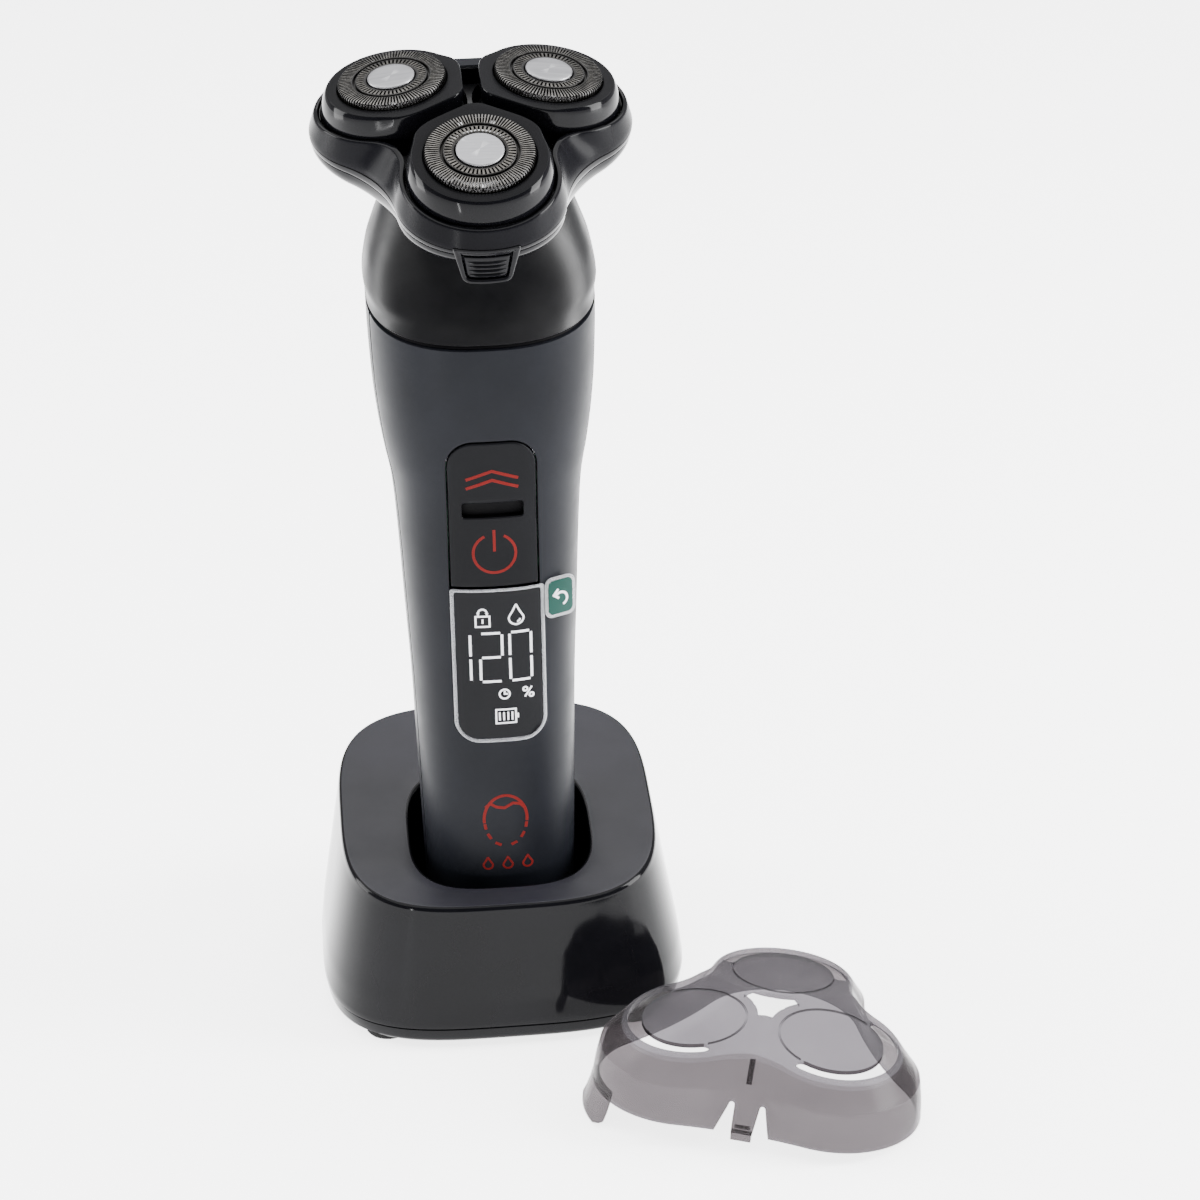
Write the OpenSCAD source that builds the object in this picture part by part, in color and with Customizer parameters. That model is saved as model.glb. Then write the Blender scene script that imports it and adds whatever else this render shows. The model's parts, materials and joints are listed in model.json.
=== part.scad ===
// Three-head rotary electric shaver standing in its charging stand, with its protective cap.
// Millimetres, Z up. Origin: middle of the stand's footprint on the table. The shaver faces -Y.

/* [Stand] */
// Half width of the stand at its foot
stand_half_w = 37.5; // [34:0.5:42]
// Half depth of the stand at its foot
stand_half_d = 38.5; // [35:0.5:43]
// Height of the stand's top face at the middle
stand_top_z = 36; // [32:0.5:42]
// Slope of the stand's top face, falling to the front
stand_slope = 9.5; // [0:0.5:14]
// Height of the well's floor above the table
well_floor_z = 14; // [12:0.5:18]

/* [Handle] */
// Distance of the handle's axis in front of the stand's middle
handle_fwd = 8.5; // [4:0.5:12]
// Widest full width of the handle, at its shoulder
handle_w = 43.8; // [38:0.2:50]
// Wall thickness of the handle shells
shell_wall = 1.9; // [1.4:0.1:2.4]
// Height of the seam under the shoulder collar, on the handle's axis
seam_z = 151; // [146:1:160]
// Slope of that seam, falling to the front
seam_slope = 14; // [0:1:20]

/* [Head] */
// Forward lean of the shaving head
head_lean = 17.3; // [8:0.1:22]
// Distance of each cutter's axis from the head's axis
pod_c = 17.1; // [16.8:0.1:18]
// Outward tilt of each cutter
pod_tilt = 8; // [4:0.5:10]
// Diameter of each steel guard disc
guard_d = 20.5; // [20:0.5:22]
// Radial slots in the outer track of each guard
outer_slots = 40; // [24:1:48]
// Radial slots in the inner track of each guard
inner_slots = 26; // [16:1:32]

/* [Gears] */
// Teeth of the central gear
sun_teeth = 30; // [30:1:30]
// Teeth of each spindle gear
planet_teeth = 24; // [24:1:24]
// Gear module
gear_m = 0.6; // [0.6:0.1:0.6]

/* [Cap] */
// Distance of the cap's middle to the right of the stand's middle
cap_x = 49.15; // [48:0.05:70]
// Distance of the cap's middle in front of the stand's middle
cap_fwd = 57.5; // [57:0.5:80]
// Turn of the cap on the table
cap_yaw = -18.6; // [-30:0.1:0]
// Height of the cap's three faces above its rim
cap_h = 14; // [12:0.5:16]
// Outward tilt of each face
face_tilt = 6.9; // [0:0.1:8]
// Wall thickness of the cap
cap_wall = 1.4; // [1.2:0.1:2]

/* [Hidden] */

hy = -handle_fwd;                    // handle axis, Y
slope_k = tan(stand_slope);
seam_k = tan(seam_slope);
handle_bottom = well_floor_z + 0.3;
head_o = [0, -10.6, 188.4];          // middle of the plane of the guard faces
pod_ang = [-90, 150, 30];            // front, left, right
guard_r = guard_d / 2;
sun_r = gear_m * sun_teeth / 2;
planet_r = gear_m * planet_teeth / 2;
planet_c = sun_r + planet_r;

black = [0.06, 0.06, 0.07];
grey = [0.2, 0.2, 0.22];
steel = [0.75, 0.76, 0.78];
green = [0.1, 0.45, 0.2];

// ---------- section helpers ----------
function spow(v, p) = (v < 0 ? -1 : 1) * pow(abs(v), p);
// superellipse point, n = squareness
function se(a, b, n, t) = [a * spow(cos(t), 2 / n), b * spow(sin(t), 2 / n)];
function se_ring(a, b, n, cy, cnt) = [for (i = [0:cnt-1]) let (p = se(a, b, n, i * 360 / cnt))
    [p[0], p[1] + cy]];

// distance to a three-lobed outline in the direction phi from a lobe's middle
function fillet_d(c, r, k) = c / 2 + sqrt(pow(r + k, 2) - pow(c * sin(60), 2));
function lobe_turn(c, r, k) = let (f = fillet_d(c, r, k), fx = f / 2, fy = f * sin(60))
    atan2(fy * r / (r + k), c + (fx - c) * r / (r + k));
function lobe_rho(phi, c, r, k) = phi <= lobe_turn(c, r, k)
    ? c * cos(phi) + sqrt(r * r - pow(c * sin(phi), 2))
    : let (f = fillet_d(c, r, k)) f * cos(60 - phi) - sqrt(k * k - pow(f * sin(60 - phi), 2));
// angle from the nearest lobe, for lobes at -90, 150 and 30 degrees
function lobe_phi(t) = let (m = ((t + 90) % 120 + 120) % 120) m > 60 ? 120 - m : m;
// blend, round_r: mixed with a circle; fall: drop per mm away from the middle of a lobe
function lobe_ring(c, r, k, z, blend = 1, round_r = 0, fall = 0) = [for (i = [0:71])
    let (t = i * 5, phi = lobe_phi(t),
         d = lobe_rho(phi, c, r, k) * blend + round_r * (1 - blend))
    [d * cos(t), d * sin(t), z - fall * (d * cos(phi) - c)]];
function flat2(ring) = [for (p = ring) [p[0], p[1]]];

// outline of a cutter pod: round, with two flats that meet in a blunt corner towards the
// head's axis; flat is their distance from the pod's middle
function pod_pts(r, flat) = [for (i = [0:47])
    let (t = i * 7.5, s = abs(t - 180), e = max(0, min(1, (75 - s) / 45)),
         tip = flat * (1.107 - 0.067 * s * s / 196),
         f = min(s < 14 ? tip : 99, flat / cos(30 - min(s, 60))),
         d = r + (f - r) * e * e * (3 - 2 * e))
    [d * cos(t), d * sin(t)]];

// ---------- handle surface ----------
function half_w(z) = handle_w / 43.8 * lookup(z, [[14, 15.0], [48, 15.8], [70, 16.3], [88, 17.1],
    [102, 17.7], [110, 18.15], [115, 18.6], [121, 19.7], [129, 20.8], [136, 21.4], [147, 21.8],
    [160, 21.9]]);
function depth_f(z) = lookup(z, [[14, 15.4], [60, 16.8], [90, 17.6], [105, 18.2], [120, 19.6],
    [136, 21], [160, 21.5]]);
function depth_r(z) = lookup(z, [[14, 15.4], [70, 17.4], [100, 18.6], [120, 20], [136, 20.9],
    [160, 21]]);
function body_xy(z, t, inset) = let (b = (sin(t) < 0 ? depth_f(z) : depth_r(z)) - inset)
    se(half_w(z) - inset, b, 2.5, t);
// w: how far the ring follows the sloping seam (0 flat, 1 parallel to it)
function body_pt(z, w, t, inset) = let (p0 = body_xy(z, t, inset), zz = z + w * seam_k * p0[1],
    p = body_xy(zz, t, inset)) [p[0], p[1] + hy, zz];
function body_ring(z, w, ts, inset) = [for (t = ts) body_pt(z, w, t, inset)];

// ---------- lofts ----------
function flatten(l) = [for (a = l) for (b = a) b];
// closed solid through rings of equal length, flat ends
module loft_solid(rings) {
    n = len(rings[0]);
    m = len(rings);
    sides = [for (i = [0:m-2]) for (j = [0:n-1]) let (k = (j + 1) % n)
        each [[i*n + j, (i+1)*n + j, (i+1)*n + k], [i*n + j, (i+1)*n + k, i*n + k]]];
    polyhedron(points = flatten(rings),
        faces = concat(sides, [[for (j = [0:n-1]) j]],
                       [[for (j = [n-1:-1:0]) (m-1)*n + j]]), convexity = 8);
}
// wall between an outer and an inner set of rings; loop = false leaves it open sideways
module loft_wall(outer, inner, loop = true) {
    n = len(outer[0]);
    m = len(outer);
    o = m * n;
    last = loop ? n - 1 : n - 2;
    skin = [for (i = [0:m-2]) for (j = [0:last]) let (k = (j + 1) % n)
        each [[i*n + j, (i+1)*n + j, (i+1)*n + k], [i*n + j, (i+1)*n + k, i*n + k],
              [o + i*n + j, o + (i+1)*n + k, o + (i+1)*n + j],
              [o + i*n + j, o + i*n + k, o + (i+1)*n + k]]];
    t = (m - 1) * n;
    rims = [for (j = [0:last]) let (k = (j + 1) % n)
        each [[t + j, o + t + j, o + t + k], [t + j, o + t + k, t + k],
              [j, k, o + k], [j, o + k, o + j]]];
    e = n - 1;
    ends = loop ? [] : [for (i = [0:m-2])
        each [[i*n, o + i*n, o + (i+1)*n], [i*n, o + (i+1)*n, (i+1)*n],
              [i*n + e, (i+1)*n + e, o + (i+1)*n + e], [i*n + e, o + (i+1)*n + e, o + i*n + e]]];
    polyhedron(points = concat(flatten(outer), flatten(inner)),
        faces = concat(skin, rims, ends), convexity = 8);
}

// ---------- frames ----------
module at_head() translate(head_o) rotate([head_lean, 0, 0]) children();
module at_pod(k) at_head() rotate([0, 0, pod_ang[k]]) translate([pod_c, 0, 0])
    rotate([0, pod_tilt, 0]) children();
// prism through the handle's front: x across, y up, drawn at height z
module front_prism(z) translate([0, hy, z]) rotate([90, 0, 0])
    linear_extrude(height = 40) children();
module ring(ro, ri, h) difference() {
    cylinder(r = ro, h = h, $fn = 64);
    translate([0, 0, -1]) cylinder(r = ri, h = h + 2, $fn = 64);
}
module block(x, y, z) translate([-x / 2, -y / 2, 0]) cube([x, y, z]);
module rrect(w, h, r) offset(r = r) square([w - 2 * r, h - 2 * r], center = true);

// ================= stand =================
foot_at = [[24.8, 28.3], [-24.8, 28.3], [24.8, -28.3], [-24.8, -28.3], [0, 0]];
post_at = [[24, 25], [-24, 25], [24, -25], [-24, -25]];
board_z = 8;
board_post_at = [[17, -17], [-17, -17], [17, 24], [-17, 24]];
pin_x = 5.5;
rim_half_w = stand_half_w - 5.7;
rim_half_d = stand_half_d - 4.5;

module stand_feet() color(black) for (p = foot_at) translate([p[0], p[1], 0]) {
    cylinder(r1 = 4.3, r2 = 4.7, h = 0.5, $fn = 48);
    translate([0, 0, 0.5]) cylinder(r = 4.7, h = 1.6, $fn = 48);
}

module stand_base_plate() color(black) difference() {
    union() {
        translate([0, 0, 1.5]) linear_extrude(height = 0.8)
            polygon(se_ring(stand_half_w - 1.2, stand_half_d - 1.2, 3.4, 0, 72));
        translate([0, 0, 2.2]) linear_extrude(height = 2.4)
            polygon(se_ring(stand_half_w - 0.3, stand_half_d - 0.3, 3.4, 0, 72));
        for (p = board_post_at) translate([p[0], p[1], 4.5]) cylinder(r = 2.2, h = 3.5, $fn = 32);
    }
    for (p = foot_at) translate([p[0], p[1], 1]) cylinder(r = 4.8, h = 1.2, $fn = 48);
    for (p = post_at) translate([p[0], p[1], 0]) cylinder(r = 1.3, h = 8, $fn = 24);
    for (p = board_post_at) translate([p[0], p[1], 5]) cylinder(r = 0.9, h = 4, $fn = 24);
}

function stand_ring(a, b, z, k, cy = 0, n = 3.4) = [for (i = [0:63])
    let (p = se(a, b, n, i * 360 / 64)) [p[0], p[1] + cy, z + k * (p[1] + cy)]];
module stand_shell() color(black) difference() {
    union() {
        loft_solid([
            stand_ring(14.5, 15.3, well_floor_z - 2.2, 0, hy, 3),
            stand_ring(20, 21.4, stand_top_z - 2.4, slope_k, hy, 3.2),
            stand_ring(rim_half_w - 3.2, rim_half_d - 3.2, stand_top_z - 2.4, slope_k),
            stand_ring(stand_half_w - 2.2, stand_half_d - 2.2, 4.7, 0),
            stand_ring(stand_half_w, stand_half_d, 4.7, 0),
            stand_ring(stand_half_w - 0.9, stand_half_d - 0.8, 12, 0.02),
            stand_ring(rim_half_w + 0.6, rim_half_d + 0.6, stand_top_z - 1.1, slope_k),
            stand_ring(rim_half_w + 0.15, rim_half_d + 0.15, stand_top_z - 0.2, slope_k),
            stand_ring(rim_half_w - 0.5, rim_half_d - 0.5, stand_top_z, slope_k),
            stand_ring(18.5, 19.9, stand_top_z, slope_k, hy, 3.2),
            stand_ring(18.0, 19.4, stand_top_z - 0.6, slope_k, hy, 3.2),
            stand_ring(16.6, 17.2, well_floor_z, 0, hy, 3)]);
        for (p = post_at) translate([p[0], p[1], 4.7])
            cylinder(r = 3, h = stand_top_z - 6 + slope_k * p[1], $fn = 32);
    }
    for (p = post_at) translate([p[0], p[1], 4]) cylinder(r = 1.05, h = 12, $fn = 24);
    for (s = [-1, 1]) translate([s * pin_x, hy, well_floor_z - 4])
        cylinder(r = 1.7, h = 6, $fn = 32);
    translate([0, stand_half_d + 4, board_z + 3.4]) rotate([90, 0, 0])
        linear_extrude(height = 9) rrect(9.6, 4.2, 1.9);
}
module stand_screws() color(steel) for (p = post_at) translate([p[0], p[1], 2.3]) difference() {
    union() {
        translate([0, 0, 2.2]) cylinder(r = 0.98, h = 8.5, $fn = 24);
        cylinder(r = 1.2, h = 2.3, $fn = 24);
    }
    translate([0, 0, -1]) linear_extrude(height = 1.6) for (a = [0, 90]) rotate(a)
        square([1.5, 0.4], center = true);
}
module stand_board() color([0.05, 0.3, 0.12]) difference() {
    translate([0, 5.5, board_z]) block(41, 53, 1.6);
    for (p = board_post_at) translate([p[0], p[1], 7]) cylinder(r = 1.0, h = 4, $fn = 24);
    for (s = [-1, 1]) translate([s * 20.5, 25, 7]) cylinder(r = 4, h = 4, $fn = 32);
}
module stand_board_parts() {
    color(grey) translate([-9, 20, board_z + 1.6]) block(8, 8, 1.1);
    color(black) translate([8, 19, board_z + 1.6]) cylinder(r = 3.5, h = 6, $fn = 40);
    color(grey) translate([8, 28, board_z + 1.6]) block(7, 5, 2.4);
    color(steel) for (p = board_post_at) translate([p[0], p[1], board_z + 1.6])
        cylinder(r = 1.9, h = 1.2, $fn = 32);
    color(steel) for (i = [0:4]) translate([-14 + 3 * i, 13, board_z + 1.6]) block(1.6, 0.9, 0.6);
}
module stand_inlet() color(steel) translate([0, 37.2, board_z + 3.4]) rotate([90, 0, 0]) {
    difference() {
        linear_extrude(height = 7.4) rrect(9, 3.4, 1.6);
        translate([0, 0, -1]) linear_extrude(height = 7.2) rrect(8.4, 2.8, 1.3);
    }
    translate([0, 0, 0.8]) linear_extrude(height = 6) square([6.6, 0.7], center = true);
}
module stand_pins() color([0.85, 0.7, 0.35]) for (s = [-1, 1])
    translate([s * pin_x, hy, board_z + 1.6]) {
        cylinder(r = 1.5, h = 4.6, $fn = 32);
        translate([0, 0, 4.5]) cylinder(r = 1.0, h = 1.0, $fn = 32);
        translate([0, 0, 5.5]) cylinder(r1 = 1.0, r2 = 0.6, h = 0.35, $fn = 32);
    }

// ================= handle =================
full_t = [for (i = [0:51]) i * 360 / 52];
front_t = [for (i = [0:30]) 193.4 + i * (153.2 / 30)];
rear_t = [for (i = [0:30]) -12.6 + i * (205.2 / 30)];
low_z = handle_bottom + 4.2;
shell_z = [low_z, 34, 48, 70, 88, 102, 110, 115, 121, 129, 136, 143, seam_z - 0.1];
function shell_w(z) = z < 122 ? 0 : (z < 130 ? 0.3 : (z < 137 ? 0.6 : (z < 144 ? 0.85 : 1)));

module bottom_cap() color(black) difference() {
    union() {
        loft_solid([for (q = [[0, 2.6], [0.5, 1.2], [1.4, 0.4], [2.6, 0.05], [4.1, 0]])
            [for (p = body_ring(handle_bottom + q[0], 0, full_t, q[1])) p]]);
        translate([0, 0, handle_bottom + 4]) linear_extrude(height = 3)
            polygon([for (p = body_ring(20, 0, full_t, shell_wall + 0.4)) [p[0], p[1]]]);
    }
    for (s = [-1, 1]) translate([s * pin_x, hy, handle_bottom - 1]) {
        cylinder(r = 2.1, h = 2.6, $fn = 32);
        cylinder(r = 1.95, h = 4.2, $fn = 32);
    }
    for (s = [-1, 1]) translate([0, hy + s * 9, handle_bottom - 1])
        cylinder(r = 1.2, h = 2.2, $fn = 24);
}
module charge_contacts() color([0.85, 0.7, 0.35]) for (s = [-1, 1])
    translate([s * pin_x, hy, handle_bottom + 1.7]) cylinder(r = 1.9, h = 1.4, $fn = 32);

key_w = 16.8;
key_z = [96.2, 126.9];
win_w = 17.6;
win_z = [62.6, 95.6];
module key_shape(g) translate([0, (key_z[0] + key_z[1]) / 2])
    offset(r = 5 + g) square([key_w - 10, key_z[1] - key_z[0] - 10], center = true);
module key_outline(g) {
    key_shape(g);
    translate([-key_w / 2 - g, key_z[0] - g]) square([key_w + 2 * g, 12]);
}
module win_outline(g, top = 0) {
    h = win_z[1] - win_z[0];
    translate([0, win_z[0] + 4.5]) offset(r = 4.5 + g) translate([-win_w / 2 + 4.5, 0])
        square([win_w - 9, h - 12]);
    translate([-win_w / 2 - g, win_z[1] - 14]) square([win_w + 2 * g, 14 + top]);
}
module front_shell() color(black) difference() {
    loft_wall([for (z = shell_z) body_ring(z, shell_w(z), front_t, 0)],
              [for (z = shell_z) body_ring(z, shell_w(z), front_t, shell_wall)], loop = false);
    front_prism(0) key_outline(0.35);
    front_prism(0) win_outline(0.05, 0.5);
}
module rear_shell() color(black)
    loft_wall([for (z = shell_z) body_ring(z, shell_w(z), rear_t, 0)],
              [for (z = shell_z) body_ring(z, shell_w(z), rear_t, shell_wall)], loop = false);

// curved panel following the handle's front, clipped to an outline
module front_panel(z0, z1, steps, lift, thick) {
    ts = [for (i = [0:20]) 232 + i * 3.8];
    intersection() {
        loft_wall([for (i = [0:steps]) body_ring(z0 + (z1 - z0) * i / steps, 0, ts, -lift)],
            [for (i = [0:steps]) body_ring(z0 + (z1 - z0) * i / steps, 0, ts, thick - lift)],
            loop = false);
        front_prism(0) children();
    }
}
slot_z = 112.6;
key_axis_in = 15.8;                    // how far the tilt axis lies in front of the handle's axis
module keypad() color(black) {
    difference() {
        front_panel(94, 129, 10, 0.1, 1.6) key_outline(0);
        front_prism(0) translate([0, slot_z]) rrect(11.8, 3.2, 0.6);
    }
    for (z = [103.5, 119.6]) translate([0, hy - 13.6, z]) rotate([90, 0, 0])
        cylinder(r = 1.8, h = depth_f(z) - 14.6, $fn = 32);
    // round rockers on the tilt axis
    for (s = [-1, 1]) translate([s * 7.5 - 1, hy - key_axis_in, slot_z]) rotate([0, 90, 0])
        cylinder(r = 1, h = 2, $fn = 32);
}
module display_window() color(black) front_panel(61, 96.5, 8, 0.05, 1.5) win_outline(0);
module display_film() color(grey) front_panel(61, 96.5, 8, 0.38, 0.3)
    translate([0.4, 0]) win_outline(0.35);
tab_c = [12.7, 92.2];
module film_tab() color(green) translate([tab_c[0], hy - depth_f(tab_c[1]) + 2.9, tab_c[1]])
    rotate([90, 0, 26]) linear_extrude(height = 0.3) rrect(6.8, 8.5, 1.6);

// structure inside the handle
chassis_y = hy - 2.2;
post_xz = [[7.5, 50], [-7.5, 50], [7.5, 121], [-7.5, 121]];
module chassis() color([0.5, 0.5, 0.52]) {
    difference() {
        union() {
            translate([-11, chassis_y, 24]) cube([22, 1.4, 102]);
            for (s = [-1, 1]) translate([s * 8.2 - 0.6, chassis_y + 1.3, 30])
                cube([1.2, 5, 42]);
            for (z = [22.9, 79]) translate([-8.8, chassis_y + 1.3, z]) cube([17.6, 8, 1.5]);
            for (p = post_xz) translate([p[0], chassis_y + 0.1, p[1]]) rotate([90, 0, 0])
                cylinder(r = 1.8, h = 4.8, $fn = 32);
            for (z = [92, 108]) translate([-11, chassis_y + 1.3, z]) cube([22, 3, 1.4]);
        }
        for (p = post_xz) translate([p[0], chassis_y + 3, p[1]]) rotate([90, 0, 0])
            cylinder(r = 0.95, h = 9, $fn = 24);
    }
}
cell_y = hy + 6.6;
module battery() color([0.2, 0.35, 0.55]) translate([0, cell_y, 26]) {
    cylinder(r = 6.8, h = 49, $fn = 64);
    translate([0, 0, 49]) cylinder(r = 2.6, h = 1.1, $fn = 40);
}
module battery_tabs() color(steel) {
    translate([-2.2, cell_y - 6, 25.6]) cube([4.4, 12, 0.3]);
    translate([-2.2, cell_y - 6, 76.2]) cube([4.4, 12, 0.3]);
}
board_y = hy - 7.0;
module main_board() color([0.05, 0.3, 0.12]) {
    difference() {
        translate([-10, board_y - 1.2, 44]) cube([20, 1.2, 82]);
        for (p = post_xz) translate([p[0], board_y + 1, p[1]]) rotate([90, 0, 0])
            cylinder(r = 1.0, h = 4, $fn = 24);
    }
    for (q = [[-3, 86, 5, 5], [5, 80, 3, 4], [-6, 60, 4, 3], [4, 68, 5, 5]])
        translate([q[0] - q[2] / 2, board_y - 0.1, q[1]]) cube([q[2], 1.1, q[3]]);
}
module board_screws() color(steel) for (p = post_xz)
    translate([p[0], board_y - 1.2, p[1]]) rotate([90, 0, 0]) difference() {
        union() {
            cylinder(r = 1.8, h = 1.0, $fn = 32);
            translate([0, 0, -6]) cylinder(r = 0.9, h = 6.1, $fn = 24);
        }
        translate([0, 0, 0.5]) for (a = [0, 90]) rotate(a) block(2.4, 0.5, 1);
    }
module display_module() color([0.1, 0.1, 0.12]) {
    translate([-7.6, board_y - 4.9, 56]) cube([15.2, 3.5, 38]);
    for (x = [-5:2.5:5]) translate([x - 0.3, board_y - 1.6, 58]) cube([0.6, 0.3, 2]);
}
module tact_switches() for (z = [103.5, 119.6])
    translate([0, board_y - 1.3, z]) rotate([90, 0, 0]) {
        color(grey) block(6, 6, 3.4);
        color(black) translate([0, 0, 3.3]) cylinder(r = 1.6, h = 1.6, $fn = 32);
    }

// ---------- collar ----------
neck_z = -19.2;
function head_pt(p) = let (y = p[1] * cos(head_lean) - p[2] * sin(head_lean),
    z = p[1] * sin(head_lean) + p[2] * cos(head_lean))
    [p[0] + head_o[0], y + head_o[1], z + head_o[2]];
function collar_ring(s, inset) = [for (t = full_t)
    let (low = body_pt(seam_z + 0.15, 1, t, inset),
         n = se(17.2 - inset, 15.6 - inset, 2.2, t),
         top = head_pt([n[0], n[1], neck_z]),
         front = max(0, -sin(t)),
         swell = lookup(s, [[0, 0], [0.1, 0.07], [0.25, 0.32], [0.45, 0.36], [0.65, 0.27],
                            [0.85, 0.13], [1, 0]]) * (1 - 1.25 * front * front),
         m = low + (top - low) * s)
    [m[0] + swell * (low[0] - top[0]), m[1] + swell * (low[1] - top[1]) * 0.9, m[2]]];
collar_s = [0, 0.06, 0.15, 0.27, 0.4, 0.53, 0.66, 0.78, 0.9, 1];
module shoulder_collar() color(black) {
    loft_wall([for (s = collar_s) collar_ring(s, 0)], [for (s = collar_s) collar_ring(s, 1.8)]);
    at_head() translate([0, 0, neck_z - 1.75]) difference() {
        linear_extrude(height = 1.6) polygon([for (t = full_t) se(15.7, 14.1, 2.2, t)]);
        translate([0, 0, -1]) cylinder(r = 9.9, h = 4, $fn = 64);
    }
}
module collar_seal() color(grey) at_head() translate([0, 0, neck_z + 0.02])
    ring(13, 10.6, 0.5);

// ---------- drive ----------
module motor_mount() color([0.5, 0.5, 0.52]) at_head() translate([0, 0, -26.4]) difference() {
    union() {
        cylinder(r = 12, h = 1.4, $fn = 64);
        block(27.6, 5, 1.4);
        for (s = [-1, 1]) translate([s * 12, 0, 1.3]) cylinder(r = 1.6, h = 3.8, $fn = 32);
    }
    translate([0, 0, -1]) cylinder(r = 3.2, h = 4, $fn = 48);
}
module motor_can() color(steel) at_head() translate([0, 0, -42]) difference() {
    union() {
        cylinder(r = 8, h = 15.5, $fn = 64);
        translate([0, 0, 15.4]) cylinder(r = 3, h = 1.2, $fn = 48);
    }
    translate([0, 0, -1]) cylinder(r = 7.2, h = 14, $fn = 64);
    translate([0, 0, 10]) cylinder(r = 1.1, h = 8, $fn = 32);
}
module motor_cap() color(black) at_head() translate([0, 0, -44.2]) {
    cylinder(r = 7.4, h = 2.1, $fn = 64);
    translate([0, 0, 2]) cylinder(r = 6.8, h = 1.5, $fn = 64);
    for (s = [-1, 1]) translate([s * 4, 0, -1.4]) block(1.8, 0.5, 1.5);
}
// motor shaft with its armature and the six-sided drive dog on top
module motor_coupling() color(steel) at_head() {
    translate([0, 0, -39.8]) cylinder(r = 1.0, h = 15, $fn = 32);
    translate([0, 0, -39]) cylinder(r = 6.2, h = 9, $fn = 48);
    translate([0, 0, -24.9]) cylinder(r = 2.6, h = 1.6, $fn = 40);
    translate([0, 0, -23.4]) linear_extrude(height = 3.9) circle(r = 2.1, $fn = 6);
}

// ================= head base =================
base_z = [-18.5, -17.6, -16.6, -15.4, -14.2, -13.2, -11.4];
base_b = [0.0, 0.28, 0.6, 0.86, 0.965, 1, 1];
base_top = -12.5;                      // seam between the base and the frame that opens
frame_z = base_top + 0.1;
hinge_y = 25.4;
hinge_z = -12;
module latch_trap(top, bottom, h) polygon([[-top / 2, 0], [top / 2, 0], [bottom / 2, -h],
    [-bottom / 2, -h]]);
// a profile turned round the front lobe's middle and cut to a trapezoid, seen from the front
module latch_cut(profile, top, bottom, z0, h) intersection() {
    translate([0, -pod_c, 0]) rotate([0, 0, 180]) rotate_extrude(angle = 180, $fn = 128)
        polygon(profile);
    translate([0, -20, z0]) rotate([90, 0, 0]) linear_extrude(height = 20)
        latch_trap(top, bottom, h);
}
module latch_ring(r_in, r_out, top, bottom, z0, h)
    latch_cut([[r_in, z0], [r_out, z0], [r_out, z0 - h], [r_in, z0 - h]], top, bottom, z0, h);
module head_base() color(black) at_head() {
    difference() {
        union() {
            loft_solid([for (i = [0:len(base_z)-1]) lobe_ring(pod_c, 15.6, 26, base_z[i], base_b[i],
                i == 0 ? 16.4 : 17)]);
            translate([0, 0, -23.4]) cylinder(r = 9.5, h = 5.2, $fn = 64);
            for (s = [-1, 1]) translate([s * 5.4, 21.2, -14.7]) block(2.4, 8, 2.3);
        }
        translate([0, 0, base_top]) block(90, 90, 4);
        translate([0, 0, -15.6]) linear_extrude(height = 5) {
            circle(r = 10.9, $fn = 64);
            for (a = pod_ang) rotate(a) translate([planet_c, 0]) circle(r = 8.9, $fn = 64);
        }
        translate([0, 0, -25]) cylinder(r = 6.2, h = 6.5, $fn = 64);
        translate([0, 0, -25]) cylinder(r = 4.0, h = 12, $fn = 48);
        translate([0, hinge_y - 0.2, hinge_z - 3]) block(8.1, 5.6, 6);
        translate([-8, hinge_y, hinge_z]) rotate([0, 90, 0]) cylinder(r = 1.6, h = 16, $fn = 32);
        latch_cut([[13.25, -11.5], [18, -11.5], [18, -19.2], [9.65, -19.2]],
            13.6, 10.8, -11.5, 7.6);
    }
    for (s = [-1, 1]) translate([s * 5.4 - 1.2, hinge_y, hinge_z]) rotate([0, 90, 0])
        difference() {
            cylinder(r = 2.1, h = 2.4, $fn = 40);
            translate([0, 0, -1]) cylinder(r = 1.05, h = 5, $fn = 32);
        }
}
module spur(teeth, h, bore) linear_extrude(height = h) difference() {
    pr = gear_m * teeth / 2;
    union() {
        circle(r = pr - 0.72, $fn = 96);
        for (i = [0:teeth-1]) rotate(i * 360 / teeth)
            polygon([[pr - 0.9, -0.6], [pr - 0.35, -0.5], [pr + 0.1, -0.38], [pr + 0.5, -0.2],
                     [pr + 0.5, 0.2], [pr + 0.1, 0.38], [pr - 0.35, 0.5], [pr - 0.9, 0.6]]);
    }
    if (bore > 0) circle(r = bore, $fn = 32);
}
module sun_gear() color([0.9, 0.88, 0.8]) at_head() difference() {
    union() {
        translate([0, 0, -15.3]) spur(sun_teeth, 1.8, 0);
        translate([0, 0, -22]) cylinder(r = 3.8, h = 6.8, $fn = 48);
    }
    translate([0, 0, -22.5]) cylinder(r = 2.3, h = 4.5, $fn = 32);
}
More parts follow.
